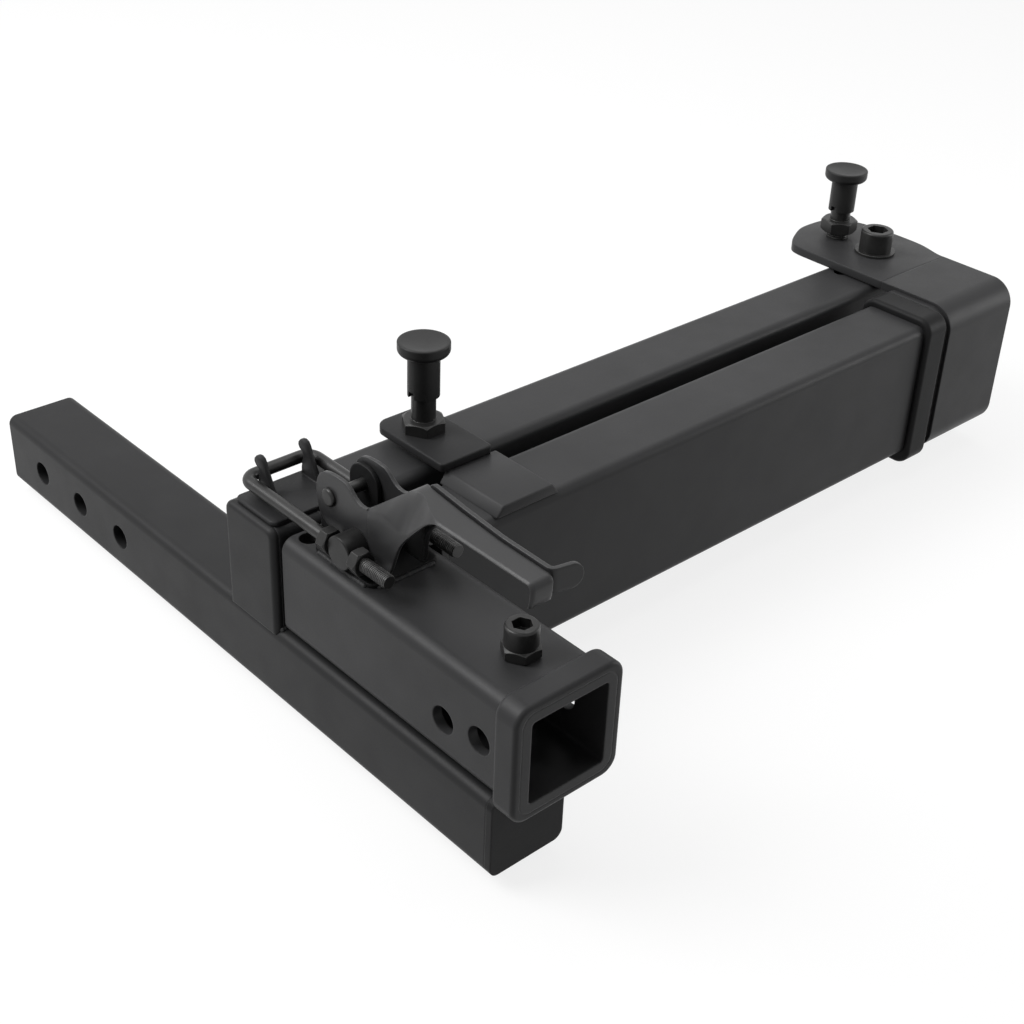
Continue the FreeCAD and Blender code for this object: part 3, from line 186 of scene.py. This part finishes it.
finishes = {
    "powder_coat": finish(powderCoat), "latch_coat": finish(latchCoat), "black_steel": finish(blackOxide),
    "knob": finish(knobPlastic), "bare_steel": finish(groundSteel), "bush_bronze": finish(bushBronze),
}
paintedShadeShank, paintedShadeDeep = finish(paintedShadeShankCoat), finish(paintedShadeDeepCoat)
# The shank, end plate, stub plate, band, latch base and collar take the darker copies, painted shade; the
# trunnion bar's steel is simply darker
darker = {
    "shank_tube": paintedShadeShank, "shank_end_plate": paintedShadeDeep, "rear_arm_stub_plate": paintedShadeShank, "hinge_band": paintedShadeDeep,
    "latch_base": paintedShadeDeep, "receiver_collar": finish(paintedShadeCollarCoat), "trunnion_bar": finish(barSteel),
}
for part in frame["record"]["subparts"]:
    node = part["node"]
    for spot in frame["nodes"][node].material_slots:
        spot.material = darker.get(node, finishes[part["material_slot"]])


# Helpers for pieces

def addObject(name, data):
    thing = bpy.data.objects.new(name, data)
    bpy.context.scene.collection.objects.link(thing)
    return thing


def meshOf(build, name):
    mesh = bpy.data.meshes.new(name)
    build.to_mesh(mesh)
    build.free()
    return mesh


# A host with its modifiers becomes a plain mesh, and the host goes
def plainMesh(host):
    graph = bpy.context.evaluated_depsgraph_get()
    mesh = bpy.data.meshes.new_from_object(host.evaluated_get(graph))
    bpy.data.objects.remove(host)
    return mesh


def plainPiece(host, name, slot, body, nodes, coat=None):
    mesh = plainMesh(host)
    mesh.shade_smooth()
    mesh.materials.clear()
    mesh.materials.append(coat or finishes[slot])
    piece = addObject(name, mesh)
    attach(piece, body)
    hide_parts(*nodes)
    return piece


def softenEdges(host, width, segments, sharpest):
    soften = host.modifiers.new("soften", "BEVEL")
    soften.width, soften.segments = width / 1000, segments
    soften.limit_method, soften.angle_limit = "ANGLE", math.radians(sharpest)


def grow(name, path, tree, sockets, values, body):
    host = addObject(name + "Path", path)
    maker = host.modifiers.new("maker", "NODES")
    maker.node_group = tree
    for label, value in values.items():
        maker[sockets[label]] = value
    piece = addObject(name, plainMesh(host))
    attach(piece, body)


def newTree(name, kinds):
    tree = bpy.data.node_groups.new(name, "GeometryNodeTree")
    sockets = {}
    for label, kind in kinds.items():
        socket = tree.interface.new_socket(label, in_out="INPUT", socket_type="NodeSocket" + kind)
        sockets[label] = socket.identifier
    tree.interface.new_socket("Piece", in_out="OUTPUT", socket_type="NodeSocketGeometry")
    return tree, sockets, tree.nodes.new("NodeGroupInput").outputs


def closeTree(tree, geometry, coat):
    real = addNode(tree, "GeometryNodeRealizeInstances", {"Geometry": geometry}).outputs["Geometry"]
    done = addNode(tree, "GeometryNodeSetMaterial", {"Geometry": real, "Material": coat})
    tree.links.new(done.outputs["Geometry"], tree.nodes.new("NodeGroupOutput").inputs["Piece"])


def lines(name, runs):
    points, edges = [], []
    for run in runs:
        first = len(points)
        points += [Vector(spot) for spot in run]
        edges += [(count, count + 1) for count in range(first, len(points) - 1)]
    mesh = bpy.data.meshes.new(name)
    mesh.from_pydata(points, edges, [])
    return mesh


def edgeOf(node):
    low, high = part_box(node)
    return low.x, high.x, low.y, high.y, low.z, high.z


# Weld beads follow the joints of the plates and tubes

weld = {
    "step": 0.0017, "width": 0.0019, "long": 0.0015, "scatter": 0.12, "seed": 7,
    "tubeInset": 0.006, "stubInset": 0.004, "topInset": 0.008, "baseInset": 0.005, "baseSide": (0.006, 0.046),
}


def beadTree():
    tree, sockets, given = newTree("weldBead", {
        "Path": "Geometry", "Step": "Float", "Width": "Float", "Long": "Float", "Scatter": "Float",
        "Seed": "Int", "Finish": "Material",
    })
    curve = addNode(tree, "GeometryNodeMeshToCurve", {"Mesh": given["Path"]}).outputs["Curve"]
    spacing = {"Curve": curve, "Length": given["Step"]}
    dots = addNode(tree, "GeometryNodeCurveToPoints", spacing, mode="LENGTH").outputs
    turned = addNode(tree, "FunctionNodeAlignRotationToVector", {"Vector": dots["Tangent"]}, axis="Z")
    ripple = addNode(tree, "GeometryNodeMeshIcoSphere", {"Radius": 1.0, "Subdivisions": 2}).outputs["Mesh"]
    ripple = addNode(tree, "GeometryNodeSetShadeSmooth", {"Geometry": ripple}).outputs["Geometry"]
    sides = {"X": given["Width"], "Y": given["Width"], "Z": given["Long"]}
    size = addNode(tree, "ShaderNodeCombineXYZ", sides).outputs[0]
    least = calc(tree, "SUBTRACT", 1.0, given["Scatter"])
    most = calc(tree, "ADD", 1.0, given["Scatter"])
    draw = {2: least, 3: most, "Seed": given["Seed"]}
    chance = addNode(tree, "FunctionNodeRandomValue", draw, data_type="FLOAT").outputs[1]
    scale = addNode(tree, "ShaderNodeVectorMath", {0: size, "Scale": chance}, operation="SCALE").outputs[0]
    row = addNode(tree, "GeometryNodeInstanceOnPoints", {
        "Points": dots["Points"], "Instance": ripple, "Rotation": turned.outputs["Rotation"],
        "Scale": scale,
    })
    closeTree(tree, row.outputs["Instances"], given["Finish"])
    return tree, sockets


def beadRuns():
    left, right, _, _, _, shankTop = edgeOf("shank_tube")
    stub, rear = edgeOf("rear_arm_stub_plate"), edgeOf("rear_arm")
    front, base = edgeOf("front_arm_cap"), edgeOf("latch_base")
    inset, baseInset = weld["tubeInset"], weld["baseInset"]
    nearBase, farBase = (base[2] + more for more in weld["baseSide"])
    rootRuns = [
        [(right, side, rear[4] + inset), (right, side, shankTop - inset)] for side in rear[2:4]
    ] + [
        [(stub[0] + weld["stubInset"], side, shankTop), (right - inset, side, shankTop)] for side in stub[2:4]
    ]
    top = edgeOf("receiver_tube")[5] - weld["topInset"]
    armRuns = [
        [(front[0], side, front[4] + inset), (front[0], side, top)] for side in front[2:4]
    ] + [
        [(base[0] + baseInset, base[2], base[4]), (base[1] - baseInset, base[2], base[4])],
    ] + [
        [(side, nearBase, base[4]), (side, farBase, base[4])] for side in base[:2]
    ]
    return {"root": rootRuns, "swing_arm": armRuns}


def makeWelds():
    tree, sockets = beadTree()
    values = {
        "Step": weld["step"], "Width": weld["width"], "Long": weld["long"], "Scatter": weld["scatter"],
        "Seed": weld["seed"], "Finish": finishes["powder_coat"],
    }
    for body, runs in beadRuns().items():
        grow("weld_" + body, lines("weldLine", runs), tree, sockets, values, body)


makeWelds()
print("welds laid")


# Threads are a helical ridge round each threaded end

hookThread = {"pitch": 0.00125, "length": 0.0565, "depth": 0.00042, "start": 0.0008}
plungerThread = {"radius": 0.0078, "pitch": 0.0015, "length": 0.0043, "depth": 0.0005}
pivotThread = {"radius": 0.0078, "pitch": 0.0018, "length": 0.0014, "depth": 0.0005}
ridge = {"segments": 20, "sides": 4, "lift": 0.0004}


def threadTree():
    tree, sockets, given = newTree("threadRidge", {
        "Line": "Geometry", "Radius": "Float", "Pitch": "Float", "Length": "Float", "Depth": "Float",
        "Segments": "Int", "Sides": "Int", "Start": "Vector", "Turn": "Vector", "Finish": "Material",
    })
    spiral = addNode(tree, "GeometryNodeCurveSpiral", {
        "Resolution": given["Segments"], "Rotations": calc(tree, "DIVIDE", given["Length"], given["Pitch"]),
        "Start Radius": given["Radius"], "End Radius": given["Radius"], "Height": given["Length"],
    }).outputs["Curve"]
    circle = {"Resolution": given["Sides"], "Radius": given["Depth"]}
    profile = addNode(tree, "GeometryNodeCurvePrimitiveCircle", circle).outputs["Curve"]
    tube = {"Curve": spiral, "Profile Curve": profile, "Fill Caps": True}
    solid = addNode(tree, "GeometryNodeCurveToMesh", tube).outputs["Mesh"]
    turn = addNode(tree, "FunctionNodeEulerToRotation", {"Euler": given["Turn"]}).outputs["Rotation"]
    where = {"Geometry": solid, "Translation": given["Start"], "Rotation": turn}
    placed = addNode(tree, "GeometryNodeTransform", where).outputs["Geometry"]
    closeTree(tree, placed, given["Finish"])
    return tree, sockets


def makeThreads():
    tree, sockets = threadTree()
    hook, plunger, pivot = edgeOf("u_bolt"), edgeOf("plunger_2_body"), edgeOf("pivot_bolt")
    rod, height = (hook[5] - hook[4]) / 2, (hook[4] + hook[5]) / 2
    foot, tabTop = hook[2] + hookThread["start"], edgeOf("hinge_tab_upper")[5]
    lying, standing = (math.radians(-90), 0.0, 0.0), (0.0, 0.0, 0.0)
    hookShape = dict(hookThread, radius=rod)

    def centre(box, level):
        return (box[0] + box[1]) / 2, (box[2] + box[3]) / 2, level + ridge["lift"]

    ends = {
        "thread_hook_left": ((hook[0] + rod, foot, height), lying, hookShape, "latch_loop"),
        "thread_hook_right": ((hook[1] - rod, foot, height), lying, hookShape, "latch_loop"),
        "thread_plunger_2": (centre(plunger, tabTop), standing, plungerThread, "swing_arm"),
        "thread_pivot_end": (centre(pivot, pivot[4]), standing, pivotThread, "swing_arm"),
    }
    for name, (start, turn, shape, body) in ends.items():
        values = {
            "Radius": shape["radius"], "Pitch": shape["pitch"], "Length": shape["length"],
            "Depth": shape["depth"], "Segments": ridge["segments"], "Sides": ridge["sides"], "Start": start,
            "Turn": turn, "Finish": finishes["black_steel"],
        }
        grow(name, lines("threadLine", [[start, start]]), tree, sockets, values, body)


makeThreads()
print("threads cut")


# The latch's handle, release lever and claws are bent sheet in millimetres. The handle and the
# lever are drawn station by station: forward and up from the handle's pivot, and across it.

handleSheet = {
    "half": 14.0, "thick": 2.2, "edge": 0.5,
    "top": (
        (-12, 2), (-11.2, 6.5), (-9, 10.5), (-5, 13.6), (0, 15), (8, 15.6), (14, 15.3), (17.5, 13.4),
        (21, 10.6), (24, 8.7), (27, 7.8), (30, 7.7), (33, 8.4), (36, 10.3), (47, 19.6), (53, 24.4),
        (57, 27), (61, 28), (170, 28),
    ),
    "foot": (
        (-12, -2), (-11.2, -9), (-9, -14), (-6, -17), (0, -20), (10, -28), (46, -28), (50, -25.5),
        (53, -19), (55, -13), (58.8, -2.7), (63.7, 4.2), (72.5, 13.8), (81, 22.6), (84.5, 25),
        (88, 26.6), (170, 26.6),
    ),
    "foldWide": (
        (33, 1.2), (40, 2.5), (47, 6), (54, 10), (60, 12.5), (66, 11.5), (72, 8.5), (78, 5), (84, 2.4),
        (90, 1.3), (170, 1.3),
    ),
    "foldDeep": (
        (33, 1.2), (40, 3.5), (47, 8), (54, 16), (60, 21), (66, 19), (72, 13), (78, 7), (84, 3),
        (90, 1.3), (170, 1.3),
    ),
    "right": ((-12, 14), (45, 14), (50, 13), (56, 8.6), (61, 6.2), (90, 3.2), (121, 0.8), (170, 0.3)),
    "foldFlat": 1.85, "farFold": 1.3, "leastTall": 1.4, "sliver": 0.05,
    "rear": -12.0, "openEnd": 33.0, "strapEnd": 159.5, "lipBend": 4.0, "lipFoot": 14.0, "lipCurl": 1.2,
    "cheekStep": 0.75, "strapStep": 1.0, "cheekEase": 0.8,
}
leverSheet = {
    "gap": 0.35, "thick": 2.4, "edge": 0.35,
    "top": ((33.5, 2.5), (34.2, 5), (36, 7.4), (39, 9.4), (60, 28.4), (62, 29.4), (170, 29.4)),
    "foot": (
        (33.5, 1.5), (34.2, -1), (36, -3.3), (39, -4.5), (45, -4.5), (68, 20), (71, 21.5), (143, 21.5),
        (150, 15.2), (170, 15.2),
    ),
    "rear": 33.5, "bendAt": 153.0, "bendRadius": 4.5, "tongue": 19.5, "tongueLean": 12.0,
    "tipRound": 7.0, "tipFlat": 0.4, "step": 1.2, "tongueStep": 0.9, "ease": 0.7,
}
clawSheet = {
    "thick": 3.4, "side": 15.0, "edge": 0.6, "plate": 3.0, "plateRound": 4.0,
    "outline": (
        (-256.5, 93), (-255.5, 95.1), (-251.5, 102), (-248.4, 108.2), (-245.9, 114.2), (-244.2, 116.7),
        (-241.6, 117.6), (-239, 117), (-237.2, 115), (-236.8, 112.8), (-238.3, 110.8), (-240.6, 109.6),
        (-241.6, 106.4), (-240.2, 103), (-239.4, 99), (-239.3, 93),
    ),
}


# How near corners merge on the bent pieces, in metres, and how their edges are rounded, in degrees
sheetCurve = {"merge": 0.00005, "shred": 0.00003, "segments": 2, "sharpest": 50.0, "clawSharpest": 40.0}


def along(points, place):
    for (first, low), (last, high) in zip(points, points[1:]):
        if place <= last:
            share = min(max((place - first) / (last - first), 0.0), 1.0)
            return low + (high - low) * share
    return points[-1][1]


def easy(points, place, window=1.6):
    steps = [place + window * share for share in (-1, -0.5, 0, 0.5, 1)]
    return sum(along(points, step) for step in steps) / len(steps)


def evenly(start, end, count):
    return [start + (end - start) * number / count for number in range(count + 1)]


def stations(start, end, step):
    return evenly(start, end, max(2, round((end - start) / step)))


def corner(turn, flat=1.0):
    angle = math.radians(turn)
    return math.sin(angle) ** flat, math.cos(angle) ** flat


# The box of a solid and its middle, in millimetres
def boxOf(node):
    low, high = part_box(node)
    return low * 1000, high * 1000


def middleOf(node):
    low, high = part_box(node)
    return (low + high) * 500


def sheetPiece(name, grids, values, slot, body, node):
    build = bmesh.new()
    for grid in grids:
        rows = [[build.verts.new(Vector(spot) / 1000) for spot in row] for row in grid]
        for row, after in zip(rows, rows[1:]):
            for count in range(len(row) - 1):
                build.faces.new((row[count], row[count + 1], after[count + 1], after[count]))
    bmesh.ops.remove_doubles(build, verts=build.verts, dist=sheetCurve["merge"])
    bmesh.ops.dissolve_degenerate(build, edges=build.edges, dist=sheetCurve["shred"])
    bmesh.ops.recalc_face_normals(build, faces=build.faces)
    host = addObject(name + "Skin", meshOf(build, name))
    wall = host.modifiers.new("wall", "SOLIDIFY")
    wall.thickness, wall.offset, wall.use_even_offset = values["thick"] / 1000, -1.0, True
    softenEdges(host, values["edge"], sheetCurve["segments"], sheetCurve["sharpest"])
    plainPiece(host, name, slot, body, (node,))


# One section of the handle: near side, fold, top, fold and far side
def handleSection(forward, spot):
    values = handleSheet
    half, sliver = values["half"], values["sliver"]
    top = easy(values["top"], forward)
    foot = min(easy(values["foot"], forward), top - values["leastTall"])
    wide = easy(values["foldWide"], forward)
    deep = min(easy(values["foldDeep"], forward), top - foot - sliver)
    right = easy(values["right"], forward)
    row = [spot(-half, forward, up) for up in evenly(foot, top - deep, 7)]
    for turn in stations(0.0, 90.0, 11.25)[1:]:
        rise, out = corner(turn, values["foldFlat"])
        row.append(spot(-half + wide * (1 - out), forward, top - deep + deep * rise))
    small = min(values["farFold"], top - foot - sliver)
    row += [spot(across, forward, top) for across in evenly(-half + wide, right - small, 8)[1:]]
    for turn in stations(0.0, 90.0, 22.5)[1:]:
        out, rise = corner(turn)
        row.append(spot(right - small + small * out, forward, top - small + small * rise))
    return row + [spot(right, forward, up) for up in evenly(top - small, foot, 2)[1:]]


def makeHandle():
    values, pivot = handleSheet, middleOf("latch_rivet")
    ease, bend, end = values["cheekEase"], values["lipBend"], values["strapEnd"]

    def spot(across, forward, up):
        return pivot.x + across, pivot.y - forward, pivot.z + up

    def cheek(across):
        rows = []
        for forward in stations(values["rear"], values["openEnd"], values["cheekStep"]):
            low, high = (easy(values[side], forward, ease) for side in ("foot", "top"))
            rows.append([spot(across, forward, up) for up in evenly(low, high, 12)])
        return rows

    strap = stations(values["openEnd"], end - bend, values["strapStep"])
    rows = [handleSection(forward, spot) for forward in strap]
    crown = max(up for _, _, up in rows[-1])
    across = [(place - pivot.x, crown - up) for place, _, up in rows[-1]]
    level = values["top"][-1][1] - bend
    for turn in stations(0.0, 90.0, 10.0)[1:]:
        lean, rise = corner(turn)
        rows.append([
            spot(place, end - bend + (bend - depth) * lean, level + (bend - depth) * rise)
            for place, depth in across
        ])
    drop = level - values["lipFoot"]
    for share in evenly(0.0, 1.0, 4)[1:]:
        curl = values["lipCurl"] * share ** 2
        rows.append([spot(place, end - depth - curl, level - drop * share) for place, depth in across])
    near, far = cheek(-values["half"]), cheek(values["half"])
    grids = [near, [list(reversed(row)) for row in far], rows]
    sheetPiece("handle_sheet", grids, values, "latch_coat", "latch_handle", "latch_handle")


def makeLever():
    values, pivot = leverSheet, middleOf("latch_rivet")
    ease, bendAt, radius, tip = values["ease"], values["bendAt"], values["bendRadius"], values["tipRound"]

    def column(across, forward, low, high):
        return [(pivot.x + across, pivot.y - forward, pivot.z + up) for up in evenly(low, high, 8)]

    def offset(forward):
        return easy(handleSheet["right"], forward) + values["gap"]

    rows = []
    for forward in stations(values["rear"], bendAt, values["step"]):
        low, high = (easy(values[side], forward, ease) for side in ("foot", "top"))
        rows.append(column(offset(forward), forward, low, high))
    low, high = values["foot"][-1][1], values["top"][-1][1]
    start = offset(bendAt)
    for turn in stations(0.0, 90.0 - values["tongueLean"], 10.0)[1:]:
        out, on = corner(turn)
        across, forward = start + radius * (1 - on), bendAt + radius * out
        rows.append(column(across, forward, low, high))
    length = values["tongue"] - radius
    for run in stations(0.0, length, values["tongueStep"])[1:]:
        into = max(0.0, run - (length - tip)) / tip
        pinch = (1 - math.sqrt(max(0.0, 1 - into * into))) * ((high - low) / 2 - values["tipFlat"])
        rows.append(column(across + run * out, forward + run * on, low + pinch, high - pinch))
    grids = [[list(reversed(row)) for row in rows]]
    sheetPiece("lever_sheet", grids, values, "latch_coat", "latch_lever", "release_lever")


def roundedOutline(low, high, rounds, step):
    outline = []
    corners = ((high[0], high[1], 0), (low[0], high[1], 90), (low[0], low[1], 180), (high[0], low[1], 270))
    for (x, y, turn), bend in zip(corners, rounds):
        x += -bend if turn in (0, 270) else bend
        y += -bend if turn in (0, 90) else bend
        for more in stations(0.0, 90.0, step):
            angle = math.radians(turn + more)
            outline.append((x + bend * math.cos(angle), y + bend * math.sin(angle)))
    return outline


def slab(build, foot, crown):
    near, far = ([build.verts.new(Vector(spot) / 1000) for spot in side] for side in (foot, crown))
    build.faces.new(list(reversed(near)))
    build.faces.new(far)
    for count in range(len(near)):
        after = (count + 1) % len(near)
        build.faces.new((near[count], near[after], far[after], far[count]))


def upright(build, foot, crown, low, high):
    slab(build, [(x, y, low) for x, y in foot], [(x, y, high) for x, y in crown])


def makeClaws():
    values = clawSheet
    low, high = boxOf("keeper_plate")
    half = values["thick"] / 2
    build = bmesh.new()
    for side in (-values["side"], values["side"]):
        middle = (low.x + high.x) / 2 + side
        slab(build, *([(middle + x, y, z) for y, z in values["outline"]] for x in (-half, half)))
    outline = roundedOutline(low, high, (values["plateRound"],) * 4, 15.0)
    upright(build, outline, outline, low.z, low.z + values["plate"])
    bmesh.ops.recalc_face_normals(build, faces=build.faces)
    host = addObject("keeperHost", meshOf(build, "keeperSolid"))
    softenEdges(host, values["edge"], sheetCurve["segments"], sheetCurve["clawSharpest"])
    # The claws take the darker shank copy of the coat: painted shade over the keeper
    plainPiece(host, "keeper_claws", "latch_coat", "root", ("keeper_plate",), paintedShadeShank)


# Plates in millimetres. The stop block between the arms has ground, sloping sides, the lock tab
# lies on it, and the hinge tab's free edge runs from the seam round its rear corners and back.

plateCurve = {"segments": 3, "sharpest": 30.0, "shadeSharp": 25.0, "drillSides": 48, "drillPast": 2.0}
blockShape = {"foot": (80.6, 128.8), "crown": (85.8, 123.6), "top": 98.7, "edge": 1.0, "sink": 0.5}
tabShape = {
    "foot": 98.7, "top": 104.2, "front": -295.5, "rearRound": 9.0, "frontRound": 2.5, "edge": 0.8,
    "bore": 8.05,
}
hingeShape = {
    "edge": 0.35, "bore": 8.05, "smooth": 2,
    "outline": (
        (581.6, -285), (581.8, -281), (583.2, -275), (585.6, -268), (587.4, -260), (588, -248),
        (587.6, -228), (585.6, -209), (583.2, -200.5), (575, -190), (565.5, -182.6), (558, -181.5),
        (543.8, -181.2), (535.5, -182.6), (524.4, -187.6), (513.5, -193.6), (508.6, -198.5),
        (506.8, -205), (506.6, -214), (506.6, -285),
    ),
}


def smoothChain(points, rounds):
    for count in range(rounds):
        cut = [points[0]]
        for (x, y), (nextX, nextY) in zip(points, points[1:]):
            cut.append((0.75 * x + 0.25 * nextX, 0.75 * y + 0.25 * nextY))
            cut.append((0.25 * x + 0.75 * nextX, 0.25 * y + 0.75 * nextY))
        points = cut + [points[-1]]
    return points


def drill(host, centre, radius, low, high):
    build = bmesh.new()
    bmesh.ops.create_cone(
        build, cap_ends=True, segments=plateCurve["drillSides"], radius1=radius, radius2=radius,
        depth=high - low,
    )
    bmesh.ops.translate(build, verts=build.verts, vec=(centre.x, centre.y, (low + high) / 2))
    bmesh.ops.scale(build, verts=build.verts, vec=(0.001, 0.001, 0.001))
    cutter = addObject("drill", meshOf(build, "drill"))
    hole = host.modifiers.new("hole", "BOOLEAN")
    hole.operation, hole.solver, hole.object = "DIFFERENCE", "EXACT", cutter
    return cutter


def plate(name, foot, crown, low, high, edge, node, coat=None, bore=None):
    build = bmesh.new()
    upright(build, foot, crown, low, high)
    bmesh.ops.recalc_face_normals(build, faces=build.faces)
    host = addObject(name + "Host", meshOf(build, name))
    softenEdges(host, edge, plateCurve["segments"], plateCurve["sharpest"])
    past = plateCurve["drillPast"]
    cutter = drill(host, *bore, low - past, high + past) if bore else None
    piece = plainPiece(host, name, "powder_coat", "swing_arm", (node,), coat)
    if cutter:
        bpy.data.objects.remove(cutter)
    piece.data.set_sharp_from_angle(angle=math.radians(plateCurve["shadeSharp"]))


def makePlates():
    low, high = boxOf("stop_block")
    foot, crown = ([
        (left, low.y), (right, low.y), (right, high.y), (left, high.y),
    ] for left, right in (blockShape["foot"], blockShape["crown"]))
    plate(
        "stop_block_ground", foot, crown, low.z - blockShape["sink"], blockShape["top"], blockShape["edge"],
        "stop_block",
    )
    low, high = boxOf("lock_tab")
    rounds = [tabShape[side] for side in ("rearRound", "rearRound", "frontRound", "frontRound")]
    outline = roundedOutline((low.x, tabShape["front"]), high, rounds, 11.25)
    # The lock tab plate takes the darker shank copy of the coat, painted shade
    plate(
        "lock_tab_plate", outline, outline, tabShape["foot"], tabShape["top"], tabShape["edge"], "lock_tab",
        paintedShadeShank, (middleOf("plunger_1_spring"), tabShape["bore"]),
    )
    low, high = boxOf("hinge_tab_upper")
    outline = smoothChain(list(hingeShape["outline"]), hingeShape["smooth"])
    plate(
        "hinge_tab_plate", outline, outline, low.z, high.z, hingeShape["edge"], "hinge_tab_upper",
        None, (middleOf("plunger_2_body"), hingeShape["bore"]),
    )


makeHandle()
makeLever()
makeClaws()
makePlates()
print("latch sheets bent, block and tabs set")


# The studio: a pale floor, a white surround, soft lamps and the camera of the picture

studio = {
    "floorTone": 0.18, "floorSeen": 1.0, "floorHalf": 6.0, "floorGrain": 3.0, "floorRough": 0.9,
    "worldLight": 0.12, "worldSeen": 1.0,
    "key": {"place": (-1.0, 0.6, 1.5), "aim": (0.2, -0.2, 0.0), "size": 1.2, "power": 37.0},
    "top": {"place": (0.35, 0.05, 1.6), "aim": (0.25, -0.15, 0.0), "size": 1.6, "power": 12.0},
    "right": {"place": (1.3, -0.9, 0.3), "aim": (0.5, -0.25, 0.0), "size": 0.5, "power": 3.2},
}
camera = {
    "place": (-0.440166, -0.917039, 0.583456), "turn": (57.9646, -2.0352, -41.8044), "lens": 57.6217,
    "sensor": 36.0, "shift": (-0.00418, -0.00304),
}


def seenRays(tree):
    path = addNode(tree, "ShaderNodeLightPath").outputs
    first = calc(tree, "MAXIMUM", path["Is Camera Ray"], path["Is Glossy Ray"])
    return calc(tree, "MAXIMUM", first, path["Is Transmission Ray"])


def makeFloor():
    half, level = studio["floorHalf"], studio["floorTone"]
    mesh = bpy.data.meshes.new("floor")
    corners = [(-half, -half), (half, -half), (half, half), (-half, half)]
    mesh.from_pydata([(x, y, floorLevel) for x, y in corners], [], [(0, 1, 2, 3)])
    floor = addObject("floor", mesh)
    material, tree, shader = newMaterial("paleFloor")
    place = addNode(tree, "ShaderNodeTexCoord").outputs["Object"]
    tone = blend(tree, noise(tree, place, studio["floorGrain"]), shade(level * 0.98), shade(level))
    tree.links.new(tone, shader.inputs["Base Color"])
    shader.inputs["Roughness"].default_value = studio["floorRough"]
    shader.inputs["Emission Color"].default_value = shade(1.0)
    lift = calc(tree, "MULTIPLY", seenRays(tree), studio["floorSeen"] - level)
    tree.links.new(lift, shader.inputs["Emission Strength"])
    mesh.materials.append(material)


def makeWorld():
    world = bpy.data.worlds.new("studioWorld")
    bpy.context.scene.world = world
    world.use_nodes = True
    tree = world.node_tree
    level = spread(tree, seenRays(tree), studio["worldLight"], studio["worldSeen"])
    tree.links.new(level, tree.nodes["Background"].inputs["Strength"])
    tree.nodes["Background"].inputs["Color"].default_value = shade(1.0)


def makeLamp(name, values):
    lamp = bpy.data.lights.new(name, "AREA")
    lamp.shape, lamp.size, lamp.energy = "SQUARE", values["size"], values["power"]
    holder = addObject(name, lamp)
    holder.location = values["place"]
    aim = Vector(values["aim"]) - Vector(values["place"])
    holder.rotation_euler = aim.to_track_quat("-Z", "Y").to_euler()


def makeCamera():
    lens = bpy.data.cameras.new("pictureCamera")
    lens.lens, lens.sensor_width = camera["lens"], camera["sensor"]
    lens.shift_x, lens.shift_y = camera["shift"]
    holder = addObject("pictureCamera", lens)
    holder.location = camera["place"]
    holder.rotation_euler = [math.radians(angle) for angle in camera["turn"]]
    bpy.context.scene.camera = holder


makeFloor()
makeWorld()
for name in ("key", "top", "right"):
    makeLamp(name + "Lamp", studio[name])
makeCamera()
bpy.context.scene.view_settings.view_transform = "Standard"
print("studio lit")
